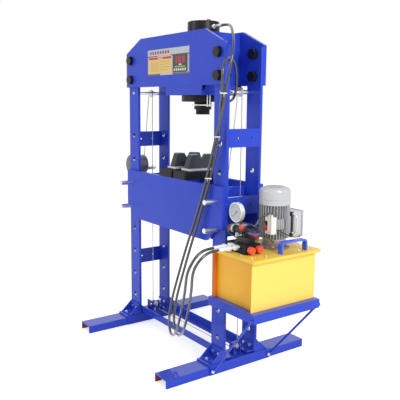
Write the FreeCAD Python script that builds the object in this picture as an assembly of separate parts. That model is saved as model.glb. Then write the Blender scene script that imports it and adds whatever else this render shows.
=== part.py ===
import FreeCAD, Part
import math
import os

os.makedirs("parts", exist_ok=True)

# Sizes in mm, from the press centre line (x = 0), mid depth (y = 0) and the floor (z = 0).

# columns and their holes
columnX = 479.0
columnW = 118.0
columnT = 17.0
columnY = 126.0
columnTop = 1845.0
edgeR = 1.5
holeFirst = 192.0
holePitch = 160.0
holeCount = 8
pinR = 15.0
pinFit = 0.08
shaftR = 8.5
shaftZ = 1595.0
shaftFit = 0.05

# feet
footTop = 50.0
footW = 119.0
footHalfLen = 515.0
footWall = 7.0
basePlateT = 10.0
basePlateHalfLen = 225.0
bracketT = 8.0
bracketH = 72.0
bracketReach = 79.0
gussetT = 6.0
footSideT = 5.0
footBoltR = 6.5
footBoltAf = 19.0
footBoltSpread = 28.0
footBoltRise = 38.0
footNutT = 10.0
footHeadT = 8.0
soleBolts = ((-10.0, 193.0), (18.0, 71.0))

# lower ties and side tie plates
tieLegZ = 45.0
tieLegY = 60.0
tieT = 5.0
tieZ = 71.0
tiePlateT = 10.0
tiePlateH = 102.0
leftTieZ = (1233.0, 395.0)
rightTieZ = (1292.0, 911.0)
tieHoleY = (-40.0, 50.0)
tieHoleR = 6.5

# beam
beamT = 20.0
beamBottom = 1632.0
beamKnee = 1852.0
beamTop = 1938.0
beamTopHalf = 350.0
beamBoltR = 18.0
beamBoltAf = 55.0
beamHeadH = 22.0
beamNutH = 29.0
beamBoltZ = (1682.0, 1805.0)
labelX = (-256.0, 205.0)
labelZ = (1700.0, 1857.0)
labelT = 1.5

# cylinder, its seat and the ram
ramX = 140.0
seatX = (-48.0, 326.0)
seatPlateT = 54.0
seatHalfY = 147.0
seatWall = 24.0
seatWallTop = 1930.0
notchY = 137.0
notchW = 26.0
notchDeep = 38.0
cylinderR = 95.0
cylinderHeadT = 35.0
cylinderBore = 75.0
flangeR = 128.0
flangeH = 38.0
ramR = 52.0
ramFit = 0.06
ramNoseR = 43.0
ramCollarLow = 1495.0
ramNoseLow = 1465.0
pistonH = 60.0
pistonTop = 1960.0
pistonGap = 10.0
plugR = 9.0
plugAf = 19.0
plugH = 20.0
plugY = 37.0
limitZ = 1518.0
limitT = 6.0
limitR = 66.0
limitRods = ((123.0, -57.0), (132.0, -45.0))
limitArm = ((20.0, -62.0), (60.0, 25.0), (140.0, -36.0), (134.0, -68.0), (100.0, -70.0))
limitRodR = 3.5
limitRodTop = 1895.0
limitNutAf = 10.0
limitNutT = 5.0
looseFit = 0.6

# table
tableT = 22.0
tableGap = 1.0
tableShort = 3.0
tableTop = 1076.0
tableBottom = 749.0
tableShoulderZ = 838.0
shoulderPast = 18.0
bellyInside = 37.0
tableEndGap = 5.0
tableEndT = 10.0
tableEndZ = (760.0, 1054.0)
endHoleY = 60.0
endHoleR = 20.0
pinLowRow = 4
pinHighRow = 5
pinFront = -234.0
pinRear = 170.0

# press blocks and V blocks
blockW = 134.0
blockX = (-113.0, 38.0)
blockHalfY = 150.0
blockH = 46.0
blockR = 9.0
veeBaseW = 86.0
veeBaseX = (-69.0, 84.0)
veeBaseH = 18.0
veeW = 46.0
veeInset = 20.0
veeTop = 1224.0
veeHalfBase = 118.0
veeHalfFoot = 113.0
veeHalfTop = 83.0
veeMouth = 35.0
veeDepth = 52.0
veeR = 12.0

# rope, pulleys and winch
ropeR = 2.5
ropeY = 6.0
pulleyPitchR = 22.0
pulleyR = 26.5
grooveGap = 0.5
rimT = 7.0
topHubR = 13.0
topHubHalf = 16.0
collarT = 5.0
sleeveR = 11.0
coneLen = 66.0
basePulleyZ = 105.0
earT = 8.0
earR = 22.0
earY = (-11.0, 30.0)
earHoleX = -472.0
hubPlay = 0.5
basePinR = 7.0
basePinAf = 19.0
basePinHeadT = 9.0
winchX = -605.0
winchZ = 1098.0
winchR = 72.0
winchY = (-84.0, 23.0)
winchBracketT = 10.0
winchRibH = 60.0
winchRibT = 8.0
ropeReach = 25.0
crankZ = 1068.0
crankR = 16.0
crankY = (32.0, 118.0)

# power pack
shelfX = (538.0, 922.0)
shelfHalfY = 238.0
shelfTop = 476.0
shelfAngle = 50.0
shelfT = 5.0
braceW = 12.0
braceT = 5.0
braceFootY = (-211.0, 214.0)
braceFootZ = 25.0
braceInset = 14.0
shelfHalfGap = 2.5
tankX = (561.0, 887.0)
tankHalfY = 228.0
tankTop = 739.0
tankRecess = 28.0
tankWall = 4.0
lidX = (549.0, 917.0)
lidHalfY = 240.0
lidH = 17.0
handleX = 880.0
handleY = (-33.0, 155.0)
handleTop = 822.0
handleW = 30.0
handleT = 10.0
motorX = 730.0
motorY = 62.0
motorR = 83.0
motorCoreR = 74.0
motorLow = 813.0
motorTop = 994.0
finCount = 32
finT = 3.0
flangeMotorR = 62.0
cowlR = 86.0
cowlLen = 96.0
cowlBandUp = 26.0
terminalX = (680.0, 780.0)
terminalY = (147.0, 231.0)
terminalZ = (805.0, 948.0)
switchX = (772.0, 824.0)
switchY = (-45.0, -8.0)
switchZ = (851.0, 941.0)
rockerX = (776.0, 796.0)
rockerZ = (868.0, 922.0)
rockerGap = 3.0
rockerPlay = 0.4
pivotR = 3.4

# valves and hoses
manifoldX = (640.0, 795.0)
manifoldY = (-195.0, -95.0)
manifoldH = 50.0
gaugeX = 613.0
gaugeY = -105.0
gaugeZ = 947.0
gaugeR = 54.0
gaugeD = 28.0
gaugeRim = 5.0
stemR = 8.0
valveX = 735.0
valveY = -140.0
leverBallR = 14.0
leverZ = 890.0
leverPivotZ = 862.0
knobY = (-172.0, -118.0)
knobZ = 782.0
knobR = 19.0
knobLen = 27.0
hoseR = 7.5
couplingR = 11.0
sleeveLen = 60.0
ringPitch = 14.0
nutAf = 26.0
nutT = 16.0
endNutT = 20.0
endNutBack = 34.0
elbowNutAf = 24.0
elbowNutT = 12.0
ferruleLen = 24.0


def vec(x, y, z):
    return FreeCAD.Vector(x, y, z)


def block(x0, x1, y0, y1, z0, z1):
    return Part.makeBox(x1 - x0, y1 - y0, z1 - z0, vec(x0, y0, z0))


def rod(x, y, z, radius, length, axis):
    return Part.makeCylinder(radius, length, vec(x, y, z), axis)


def prism(outline, plane, start, thick):
    if plane == "xz":
        points = [vec(a, start, b) for a, b in outline]
        along = vec(0, thick, 0)
    elif plane == "yz":
        points = [vec(start, a, b) for a, b in outline]
        along = vec(thick, 0, 0)
    else:
        points = [vec(a, b, start) for a, b in outline]
        along = vec(0, 0, thick)
    return Part.Face(Part.makePolygon(points + points[:1])).extrude(along)


def turned(profile, x, y, z, axis):
    points = [vec(r, 0, h) for r, h in profile]
    face = Part.Face(Part.makePolygon(points + points[:1]))
    shape = face.revolve(vec(0, 0, 0), vec(0, 0, 1), 360)
    shape.Placement = FreeCAD.Placement(vec(x, y, z), FreeCAD.Rotation(vec(0, 0, 1), axis))
    return shape


def hexagon(x, y, z, acrossFlats, height, axis):
    reach = acrossFlats / math.sqrt(3)
    corners = [vec(reach * math.cos(k * math.pi / 3), reach * math.sin(k * math.pi / 3), 0) for k in range(6)]
    shape = Part.Face(Part.makePolygon(corners + corners[:1])).extrude(vec(0, 0, height))
    shape.Placement = FreeCAD.Placement(vec(x, y, z), FreeCAD.Rotation(vec(0, 0, 1), axis))
    return shape


def flipX(shape):
    return shape.mirror(vec(0, 0, 0), vec(1, 0, 0))


def flipY(shape):
    return shape.mirror(vec(0, 0, 0), vec(0, 1, 0))


def rounded(shape, radius, wanted):
    return shape.makeFillet(radius, [edge for edge in shape.Edges if wanted(edge)])


def isUpright(edge):
    ends = edge.Vertexes
    return len(ends) == 2 and abs(ends[0].Z - ends[1].Z) > 0.9 * edge.Length


outX = vec(1, 0, 0)
outY = vec(0, 1, 0)
up = vec(0, 0, 1)
shift = vec(-((winchX - winchR) + shelfX[1]) / 2, 0, 0)
holes = [holeFirst + holePitch * k for k in range(holeCount)]
pinZ = [holeFirst + holePitch * row for row in (pinLowRow, pinHighRow)]
columnInner = columnY - columnT
columnEdge = columnX + columnW / 2
columnEdgeIn = columnX - columnW / 2
columnFoot = footTop + basePlateT
footSide = footW / 2 + footSideT
seatBottom = beamBottom - seatPlateT
tableHalf = columnEdge - tableShort
tableShoulderX = columnX + shoulderPast
tableBellyX = columnEdgeIn - bellyInside
tableEndX = columnEdgeIn - tableEndGap - tableEndT / 2
leftBaseX = -columnX + 2 * pulleyPitchR
cylinderTop = pistonTop + pistonGap + cylinderHeadT
limitRodAt = [(ramX + dx, y) for dx, y in limitRods]
cowlTop = motorTop + cowlLen
cowlBand = motorTop + cowlBandUp


def save(name, shape):
    moved = shape.copy()
    moved.translate(shift)
    moved.exportStep("parts/" + name + ".step")


# ---- feet: channel, saddle plate, corner brackets and pulley ears as one welded piece

def makeFoot():
    half = footW / 2
    channel = block(columnX - half, columnX + half, -footHalfLen, footHalfLen, 0, footTop)
    channel = channel.cut(block(columnX - half + footWall, columnX + half - footWall,
                                -footHalfLen, footHalfLen, 0, footTop - footWall))
    saddle = block(columnX - footSide, columnX + footSide, -basePlateHalfLen, basePlateHalfLen, 0, columnFoot)
    saddle = saddle.cut(block(columnX - half, columnX + half, -footHalfLen, footHalfLen, 0, footTop))
    foot = channel.fuse(saddle)
    for side in (-1, 1):
        near = columnY
        leg = block(columnEdgeIn, columnEdge, near, near + bracketT, columnFoot, columnFoot + bracketH)
        toe = block(columnEdgeIn, columnEdge, near, near + bracketReach, columnFoot, columnFoot + bracketT)
        corner = leg.fuse(toe)
        web = [(near + bracketT, columnFoot + bracketT), (near + bracketReach - 4, columnFoot + bracketT),
               (near + bracketT, columnFoot + bracketH - 4)]
        for x in (columnEdgeIn, columnEdge - gussetT):
            corner = corner.fuse(prism(web, "yz", x, gussetT))
        for dx in (-footBoltSpread, footBoltSpread):
            corner = corner.cut(rod(columnX + dx, 0, columnFoot + footBoltRise, footBoltR,
                                    columnY + bracketReach, outY))
        foot = foot.fuse(corner if side > 0 else flipY(corner))
    return foot


def addEars(foot, pulleyX):
    for y in (earY[0] - earT, earY[1]):
        ear = block(pulleyX - earR, pulleyX + earR, y, y + earT, columnFoot, basePulleyZ)
        ear = ear.fuse(rod(pulleyX, y, basePulleyZ, earR, earT, outY))
        if pulleyX < 0 and y < 0:
            ear = ear.fuse(block(earHoleX - earR, pulleyX, y, y + earT, columnFoot, basePulleyZ + earR))
            ear = ear.cut(rod(earHoleX, y - 1, basePulleyZ, basePinR, earT + 2, outY))
        foot = foot.fuse(ear)
        foot = foot.cut(rod(pulleyX, y - 1, basePulleyZ, basePinR, earT + 2, outY))
    return foot


rightFoot = addEars(makeFoot(), columnX)
leftFoot = addEars(flipX(makeFoot()), leftBaseX)
save("right_foot", rightFoot.removeSplitter())
save("left_foot", leftFoot.removeSplitter())


# ---- columns

def makeColumn(sideX, sideY):
    low = columnInner if sideY > 0 else -columnY
    mid = sideX * columnX
    bar = block(mid - columnW / 2, mid + columnW / 2, low, low + columnT, columnFoot, columnTop)
    bar = rounded(bar, edgeR, isUpright)
    for z in holes:
        bar = bar.cut(rod(mid, low - 1, z, pinR + pinFit, columnT + 2, outY))
    bar = bar.cut(rod(mid, low - 1, shaftZ, shaftR, columnT + 2, outY))
    for z in beamBoltZ:
        bar = bar.cut(rod(mid, low - 1, z, beamBoltR, columnT + 2, outY))
    for dx in (-footBoltSpread, footBoltSpread):
        bar = bar.cut(rod(mid + dx, low - 1, columnFoot + footBoltRise, footBoltR, columnT + 2, outY))
    return bar


for endName, sideX in (("left", -1), ("right", 1)):
    for rowName, sideY in (("front", -1), ("rear", 1)):
        save(rowName + "_" + endName + "_column", makeColumn(sideX, sideY))

# ---- bolts through the corner brackets, the columns and the lower ties

baseBolts = []
for sideX in (-1, 1):
    for sideY in (-1, 1):
        outward = vec(0, sideY, 0)
        for dx in (-footBoltSpread, footBoltSpread):
            x = sideX * columnX + dx
            z = columnFoot + footBoltRise
            outer = sideY * (columnY + bracketT)
            inner = sideY * (columnInner - tieT)
            grip = columnT + bracketT + tieT
            bolt = hexagon(x, outer, z, footBoltAf, footHeadT, outward)
            bolt = bolt.fuse(rod(x, inner, z, footBoltR, grip, outward))
            bolt = bolt.fuse(hexagon(x, inner, z, footBoltAf, footNutT, vec(0, -sideY, 0)))
            baseBolts.append(bolt)
        (toeX, toeY), (saddleX, saddleY) = soleBolts
        for x, y, z in ((sideX * columnX + toeX, toeY, columnFoot + bracketT),
                        (sideX * (columnX + saddleX), saddleY, columnFoot)):
            baseBolts.append(hexagon(x, sideY * y, z, footBoltAf, footHeadT, up))
save("base_bolts", Part.makeCompound(baseBolts))


# ---- lower ties: two angles between the feet, open side inwards and down

def makeLowerTie(side):
    far = side * columnInner
    inner = far - side * tieT
    lip = far - side * tieLegY
    legs = [(far, tieZ), (far, tieZ + tieLegZ), (inner, tieZ + tieLegZ), (inner, tieZ + tieT),
            (lip, tieZ + tieT), (lip, tieZ)]
    tie = prism(legs, "yz", -columnEdge, 2 * columnEdge)
    for sideX in (-1, 1):
        for dx in (-footBoltSpread, footBoltSpread):
            tie = tie.cut(rod(sideX * columnX + dx, far, columnFoot + footBoltRise, footBoltR, tieT,
                              vec(0, -side, 0)))
    return tie


save("front_lower_tie", makeLowerTie(-1))
save("rear_lower_tie", makeLowerTie(1))


# ---- side tie plates between the front and rear columns

def makeTiePlate(side, bottom):
    x0 = columnEdge - tiePlateT if side > 0 else -columnEdge
    plate = block(x0, x0 + tiePlateT, -columnInner, columnInner, bottom, bottom + tiePlateH)
    for y in tieHoleY:
        plate = plate.cut(rod(x0 - 1, y, bottom + tiePlateH / 2, tieHoleR, tiePlateT + 2, outX))
    return plate


save("left_upper_tie", makeTiePlate(-1, leftTieZ[0]))
save("left_lower_tie", makeTiePlate(-1, leftTieZ[1]))
save("right_upper_tie", makeTiePlate(1, rightTieZ[0]))
save("right_lower_tie", makeTiePlate(1, rightTieZ[1]))

# ---- beam: two plates outside the columns, held by eight large bolts

beamOutline = [(-columnEdge, beamBottom), (columnEdge, beamBottom), (columnEdge, beamKnee),
               (beamTopHalf, beamTop), (-beamTopHalf, beamTop), (-columnEdge, beamKnee)]
beamPlate = prism(beamOutline, "xz", columnY, beamT)
for sideX in (-1, 1):
    for z in beamBoltZ:
        beamPlate = beamPlate.cut(rod(sideX * columnX, columnY - 1, z, beamBoltR, beamT + 2, outY))
save("beam_rear_plate", beamPlate)
save("beam_front_plate", flipY(beamPlate))

beamBolts = []
for sideX in (-1, 1):
    for sideY in (-1, 1):
        outward = vec(0, sideY, 0)
        inner = sideY * columnInner
        outer = sideY * (columnY + beamT)
        for z in beamBoltZ:
            x = sideX * columnX
            reach = beamBoltAf / math.sqrt(3)
            head = hexagon(x, outer, z, beamBoltAf, beamHeadH, outward)
            dome = turned([(0, 0), (reach, 0), (reach, beamHeadH - 5), (reach - 6, beamHeadH),
                           (0, beamHeadH)], x, outer, z, outward)
            bolt = head.common(dome)
            bolt = bolt.fuse(rod(x, inner, z, beamBoltR, columnT + beamT, outward))
            bolt = bolt.fuse(hexagon(x, inner, z, beamBoltAf, beamNutH, vec(0, -sideY, 0)))
            beamBolts.append(bolt)
save("beam_bolts", Part.makeCompound(beamBolts))

labelFront = -(columnY + beamT)
save("label_plate", block(labelX[0], labelX[1], labelFront - labelT, labelFront, labelZ[0], labelZ[1]))

# ---- ram seat: thick bottom plate and two side walls between the beam plates

seat = block(seatX[0], seatX[1], -seatHalfY, seatHalfY, seatBottom, beamBottom)
seat = rounded(seat, 4.0, isUpright)
for x in (seatX[0], seatX[1] - seatWall):
    seat = seat.fuse(block(x, x + seatWall, -columnY, columnY, beamBottom, seatWallTop))
seat = seat.cut(rod(ramX, 0, seatBottom - 1, cylinderR, seatPlateT + 2, up))
for x, y in limitRodAt:
    seat = seat.cut(rod(x, y, seatBottom - 1, limitRodR + looseFit, seatPlateT + 2, up))
notch = prism([(-notchY, beamBottom + 1), (-notchY + notchW, beamBottom + 1),
               (-notchY, beamBottom - notchDeep)], "yz", seatX[0] - 1, seatX[1] - seatX[0] + 2)
seat = seat.cut(notch).cut(flipY(notch))
save("ram_seat", seat.removeSplitter())

# ---- cylinder, hollow, with its flange ring under the seat

flangeLow = seatBottom - flangeH
shell = turned([(cylinderR, seatBottom), (cylinderR, cylinderTop - 5), (cylinderR - 5, cylinderTop),
                (0, cylinderTop), (0, pistonTop + pistonGap), (cylinderBore, pistonTop + pistonGap),
                (cylinderBore, seatBottom + 20), (ramR + ramFit, seatBottom + 20),
                (ramR + ramFit, flangeLow), (flangeR - 3, flangeLow), (flangeR, flangeLow + 3),
                (flangeR, seatBottom)], ramX, 0, 0, up)
plug = rod(ramX, plugY, cylinderTop - 2, plugR, plugH - 6, up)
plug = plug.fuse(hexagon(ramX, plugY, cylinderTop + 6, plugAf, plugH - 6, up))
shell = shell.fuse(plug)
save("press_cylinder", shell.removeSplitter())

noseGrooves = [(ramNoseR, ramCollarLow)]
for k in range(3):
    z = ramCollarLow - 6 - 7 * k
    noseGrooves += [(ramNoseR, z), (ramNoseR - 2.5, z - 1.5), (ramNoseR - 2.5, z - 3.5), (ramNoseR, z - 5)]
noseGrooves += [(ramNoseR, ramNoseLow + 2), (ramNoseR - 2, ramNoseLow), (0, ramNoseLow)]
pistonR = cylinderBore - ramFit
ramProfile = [(0, pistonTop), (pistonR, pistonTop), (pistonR, pistonTop - pistonH),
              (ramR, pistonTop - pistonH), (ramR, ramCollarLow)]
ram = turned(ramProfile + noseGrooves, ramX, 0, 0, up)
save("ram", ram)

# ---- limit plate on the ram, with two guide rods up through the seat

limit = rod(ramX, 0, limitZ, limitR, limitT, up)
limit = limit.fuse(prism([(ramX + dx, y) for dx, y in limitArm], "xy", limitZ, limitT))
limit = limit.cut(rod(ramX, 0, limitZ - 1, ramR, limitT + 2, up))
for x, y in limitRodAt:
    limit = limit.fuse(rod(x, y, limitZ, limitRodR, limitRodTop - limitZ, up))
    limit = limit.fuse(hexagon(x, y, limitZ - limitNutT, limitNutAf, limitNutT, up))
save("limit_stop", limit.removeSplitter())


# ---- rope pulleys, turned, each on a shaft or on a pin between ears

def pulleyProfile(hubR, hubLow, hubHigh, bore):
    root = pulleyPitchR - ropeR - grooveGap
    slot = ropeR + grooveGap
    return [(bore, hubLow), (hubR, hubLow), (hubR, -rimT), (pulleyR, -rimT), (pulleyR, -slot - 1.5),
            (root, -slot), (root, slot), (pulleyR, slot + 1.5), (pulleyR, rimT), (hubR, rimT),
            (hubR, hubHigh), (bore, hubHigh)]


topPulley = pulleyProfile(topHubR, -topHubHalf, topHubHalf, shaftR + shaftFit)
save("left_top_pulley", turned(topPulley, -columnX, ropeY, shaftZ, outY))
save("right_top_pulley", turned(topPulley, columnX, ropeY, shaftZ, outY))

basePulley = pulleyProfile(basePinR + 5, earY[0] - ropeY + hubPlay, earY[1] - ropeY - hubPlay,
                           basePinR + shaftFit)
save("left_base_pulley", turned(basePulley, leftBaseX, ropeY, basePulleyZ, outY))
save("right_base_pulley", turned(basePulley, columnX, ropeY, basePulleyZ, outY))

shafts = []
hubLow = ropeY - topHubHalf - hubPlay
hubHigh = ropeY + topHubHalf + hubPlay
for sideX in (-1, 1):
    x = sideX * columnX
    shaft = rod(x, -columnY, shaftZ, shaftR, 2 * columnY, outY)
    shaft = shaft.fuse(rod(x, hubLow - collarT, shaftZ, shaftR + 5, collarT, outY))
    shaft = shaft.fuse(Part.makeCone(shaftR + 5, shaftR, coneLen, vec(x, hubHigh, shaftZ), outY))
    shaft = shaft.fuse(rod(x, -columnInner, shaftZ, sleeveR, columnInner + hubLow - collarT, outY))
    shafts.append(shaft)
for x in (leftBaseX, columnX):
    low = earY[0] - earT
    span = earY[1] + earT - low
    pin = rod(x, low, basePulleyZ, basePinR, span, outY)
    pin = pin.fuse(hexagon(x, low, basePulleyZ, basePinAf, basePinHeadT, vec(0, -1, 0)))
    pin = pin.fuse(hexagon(x, low + span, basePulleyZ, basePinAf, basePinHeadT, outY))
    shafts.append(pin)
save("pulley_shafts", Part.makeCompound(shafts))

# ---- table: two long plates, two end plates, four pins

tableFace = columnY + tableGap
tableOutline = [(-tableHalf, tableTop), (-tableHalf, tableShoulderZ), (-tableShoulderX, tableShoulderZ),
                (-tableBellyX, tableBottom), (tableBellyX, tableBottom), (tableShoulderX, tableShoulderZ),
                (tableHalf, tableShoulderZ), (tableHalf, tableTop)]
tablePlate = prism(tableOutline, "xz", tableFace, tableT)
for sideX in (-1, 1):
    for z in pinZ:
        tablePlate = tablePlate.cut(rod(sideX * columnX, tableFace - 1, z, pinR + pinFit, tableT + 2, outY))
save("table_rear_plate", tablePlate)
save("table_front_plate", flipY(tablePlate))


def makeTableEnd():
    web = block(tableEndX - tableEndT / 2, tableEndX + tableEndT / 2, -tableFace, tableFace,
                tableEndZ[0], tableEndZ[1])
    holeZ = (tableEndZ[0] + tableEndZ[1]) / 2
    for y in (-endHoleY, endHoleY):
        web = web.cut(rod(tableEndX - tableEndT, y, holeZ, endHoleR, 2 * tableEndT, outX))
    return web


bracketY = (winchY[0] + 8.0, ropeY - ropeR - 6.0)
bracketZ = winchZ - winchR - winchBracketT
leftEnd = flipX(makeTableEnd())
ribTop = -tableEndX - tableEndT / 2
arm = block(winchX - winchR + 10, ribTop, bracketY[0], bracketY[1], bracketZ, bracketZ + winchBracketT)
rib = prism([(ribTop, bracketZ), (ribTop, bracketZ - winchRibH), (-columnX + pinR + 6, bracketZ)],
            "xz", bracketY[0], winchRibT)
arm = arm.fuse(rib)
save("table_left_end", leftEnd.fuse(arm).removeSplitter())

rightEnd = makeTableEnd()
lugX = tableEndX + tableEndT / 2
lugTop = tableTop
lug = block(lugX, columnEdgeIn + 35, -60.0, -40.0, lugTop - 50, lugTop)
lug = lug.cut(rod(columnEdgeIn + 29, -61.0, lugTop - 14, 4.0, 22.0, outY))
save("table_right_end", rightEnd.fuse(lug).removeSplitter())

pinProfile = [(0, pinRear), (pinR - 2, pinRear), (pinR, pinRear - 2), (pinR, pinFront + 3),
              (pinR - 3, pinFront), (0, pinFront)]
for endName, sideX in (("left", -1), ("right", 1)):
    for levelName, z in (("lower", pinZ[0]), ("upper", pinZ[1])):
        save("table_pin_" + endName + "_" + levelName, turned(pinProfile, sideX * columnX, 0, z, outY))

# ---- press blocks across the table and the V blocks on them

veeOutline = [(-veeHalfFoot, 0), (veeHalfFoot, 0), (veeHalfTop, veeTop), (veeMouth, veeTop),
              (0, veeTop - veeDepth), (-veeMouth, veeTop), (-veeHalfTop, veeTop)]
for blockName, x, baseX in (("left", blockX[0], veeBaseX[0]), ("right", blockX[1], veeBaseX[1])):
    press = block(x, x + blockW, -blockHalfY, blockHalfY, tableTop, tableTop + blockH)
    press = rounded(press, blockR, isUpright)
    save(blockName + "_press_block", press)
    veeLow = tableTop + blockH
    base = block(baseX, baseX + veeBaseW, -veeHalfBase, veeHalfBase, veeLow, veeLow + veeBaseH)
    outline = [(y, veeLow + veeBaseH) if z == 0 else (y, z) for y, z in veeOutline]
    vee = prism(outline, "yz", baseX + veeInset, veeW)
    vee = rounded(vee, veeR, lambda e: abs(e.CenterOfMass.z - veeTop) < 0.1
                  and abs(abs(e.CenterOfMass.y) - veeHalfTop) < 0.1)
    save(blockName + "_v_block", base.fuse(vee).removeSplitter())

# ---- winch on the left end of the table

winchLen = winchY[1] - winchY[0]
winchStep = winchLen * 0.55
housing = turned([(0, 0), (winchR - 3, 0), (winchR, 3), (winchR, winchStep), (winchR - 4, winchStep),
                  (winchR - 4, winchLen - 3), (winchR - 7, winchLen), (0, winchLen)],
                 winchX, winchY[0], winchZ, outY)
footing = block(winchX - 50, winchX + 50, bracketY[0], bracketY[1], bracketZ + winchBracketT, winchZ)
housing = housing.fuse(footing)
boss = rod(winchX, winchY[1], crankZ, crankR + 6, crankY[0] - winchY[1] - 1, outY)
housing = housing.fuse(boss)
housing = housing.cut(rod(winchX, winchY[1] - 30, crankZ, crankR - 6 + shaftFit, 60, outY))
save("winch_housing", housing.removeSplitter())

crank = rod(winchX, crankY[0], crankZ, crankR, crankY[1] - crankY[0], outY)
crank = crank.fuse(rod(winchX, winchY[1] - 29, crankZ, crankR - 6, crankY[0] - winchY[1] + 30, outY))
crank = crank.cut(block(winchX - 6, winchX + 6, crankY[1] - 30, crankY[1], crankZ - 6, crankZ + 6))
save("winch_crank_shaft", crank)


# ---- wire rope, held on the pulleys all the way

def arcAbout(x, z, startDeg, endDeg):
    angles = [math.radians(startDeg + (endDeg - startDeg) * t) for t in (0, 0.5, 1)]
    points = [vec(x + pulleyPitchR * math.cos(a), ropeY, z + pulleyPitchR * math.sin(a)) for a in angles]
    return Part.Arc(*points).toShape()


toPulley = vec(-columnX, ropeY, shaftZ) - vec(winchX + ropeReach, ropeY, winchZ)
slant = math.degrees(math.atan2(toPulley.z, toPulley.x) + math.asin(pulleyPitchR / toPulley.Length))
ropeArcs = [arcAbout(-columnX, shaftZ, slant + 90, 0), arcAbout(leftBaseX, basePulleyZ, 180, 270),
            arcAbout(columnX, basePulleyZ, 270, 360), arcAbout(columnX, shaftZ, 0, 180)]
ropeStart = vec(winchX + ropeReach, ropeY, winchZ)
dropX = columnX - pulleyPitchR
turnPoint = vec(dropX, ropeY, shaftZ - 60)
lugPoint = vec(columnEdgeIn + 29, -50.0, lugTop - 5)


def tubeSolid(path, radius):
    first = path.Edges[0]
    ring = Part.Circle(first.valueAt(first.FirstParameter), first.tangentAt(first.FirstParameter), radius)
    return path.makePipeShell([Part.Wire(ring.toShape())], True, False)


def bend(before, corner, after):
    back = before - corner
    forth = after - corner
    half = (math.pi - back.getAngle(forth)) / 2
    run = min(back.Length, forth.Length)
    cut = 0.45 * run
    radius = cut / math.tan(half)
    back.normalize()
    forth.normalize()
    middle = back + forth
    middle.normalize()
    top = corner + middle * (radius / math.cos(half) - radius)
    return corner + back * cut, top, corner + forth * cut, radius


def joined(points):
    edges = []
    at = points[0]
    smallest = 1e9
    for k in range(1, len(points) - 1):
        begin, top, end, radius = bend(points[k - 1], points[k], points[k + 1])
        smallest = min(smallest, radius)
        edges.append(Part.makeLine(at, begin))
        edges.append(Part.Arc(begin, top, end).toShape())
        at = end
    edges.append(Part.makeLine(at, points[-1]))
    return edges, smallest


ropeEdges = [Part.makeLine(ropeStart, ropeArcs[0].Vertexes[0].Point)]
for k, arc in enumerate(ropeArcs):
    ropeEdges.append(arc)
    if k < 3:
        ropeEdges.append(Part.makeLine(arc.Vertexes[-1].Point, ropeArcs[k + 1].Vertexes[0].Point))
lastEdges, ropeBend = joined([ropeArcs[3].Vertexes[-1].Point, turnPoint, lugPoint])
ropePath = Part.Wire(ropeEdges + lastEdges)
rope = tubeSolid(ropePath, ropeR)
rope = rope.cut(rod(winchX, winchY[0], winchZ, winchR, winchLen, outY))
rope = rope.cut(block(lugX, columnEdgeIn + 35, -60.0, -40.0, lugTop - 50, lugTop))
save("wire_rope", rope)

# ---- shelf for the power pack, with two thin braces

outer = block(shelfX[0], shelfX[1], -shelfHalfY, shelfHalfY, shelfTop - shelfAngle, shelfTop)
inner = block(shelfX[0] + shelfT, shelfX[1] - shelfT, -shelfHalfY + shelfT, shelfHalfY - shelfT,
              shelfTop - shelfAngle, shelfTop - shelfT)
well = block(shelfX[0] + shelfAngle, shelfX[1] - shelfAngle, -shelfHalfY + shelfAngle,
             shelfHalfY - shelfAngle, shelfTop - shelfT, shelfTop)
save("power_shelf", outer.cut(inner).cut(well))

braces = []
footFace = columnX + footSide
for sideY, footY in ((-1, braceFootY[0]), (1, braceFootY[1])):
    sideFace = sideY * (shelfHalfY + shelfHalfGap)
    top = vec(shelfX[1] - braceInset, sideFace + sideY * braceT / 2, shelfTop - shelfAngle + braceInset)
    low = vec(footFace + 7, footY, braceFootZ)
    along = low - top
    bar = block(-braceW / 2, braceW / 2, -braceT / 2, braceT / 2, 0, along.Length)
    bar.Placement = FreeCAD.Placement(top, FreeCAD.Rotation(up, along))
    tab = rod(footFace, footY, braceFootZ, braceW, 6.0, outX)
    head = hexagon(footFace + 6, footY, braceFootZ, 17.0, 8.0, outX)
    pad = rod(top.x, sideY * shelfHalfY, top.z, braceW, abs(sideFace) - shelfHalfY + braceT, vec(0, sideY, 0))
    knob = hexagon(top.x, sideFace + sideY * braceT, top.z, 17.0, 7.0, vec(0, sideY, 0))
    braces.append(bar.fuse(tab).fuse(head).fuse(pad).fuse(knob).removeSplitter())
save("shelf_braces", Part.makeCompound(braces))

# ---- oil tank with a recessed front panel, its lid and the handle on it

tank = block(tankX[0], tankX[1], -tankHalfY, tankHalfY, shelfTop, tankTop)
tank = tank.cut(block(tankX[0] + tankWall, tankX[1] - tankWall, -tankHalfY, -tankHalfY + tankRecess,
                      shelfTop, tankTop))
tank = tank.cut(block(tankX[0] + tankWall, tankX[1] - tankWall, -tankHalfY + tankRecess + tankWall,
                      tankHalfY - tankWall, shelfTop + tankWall, tankTop))
save("oil_tank", tank)

lid = block(lidX[0], lidX[1], -lidHalfY, lidHalfY, tankTop, tankTop + lidH)
lid = rounded(lid, 6.0, isUpright)
lidTop = tankTop + lidH
bow = block(handleX - handleW / 2, handleX + handleW / 2, handleY[0], handleY[1], lidTop, handleTop)
bow = rounded(bow, 24.0, lambda e: abs(e.CenterOfMass.z - handleTop) < 0.1 and e.Length < handleW + 1
              and abs(e.Vertexes[0].Y - e.Vertexes[-1].Y) < 0.1)
hollow = block(handleX - handleW / 2 - 1, handleX + handleW / 2 + 1,
               handleY[0] + handleT, handleY[1] - handleT, lidTop - 30, handleTop - handleT)
hollow = rounded(hollow, 14.0, lambda e: abs(e.CenterOfMass.z - handleTop + handleT) < 0.1
                 and abs(e.Vertexes[0].Y - e.Vertexes[-1].Y) < 0.1)
bow = bow.cut(hollow)
save("tank_lid", lid.fuse(bow).removeSplitter())

# ---- motor with fins, its cowl, terminal box and switch

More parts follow.
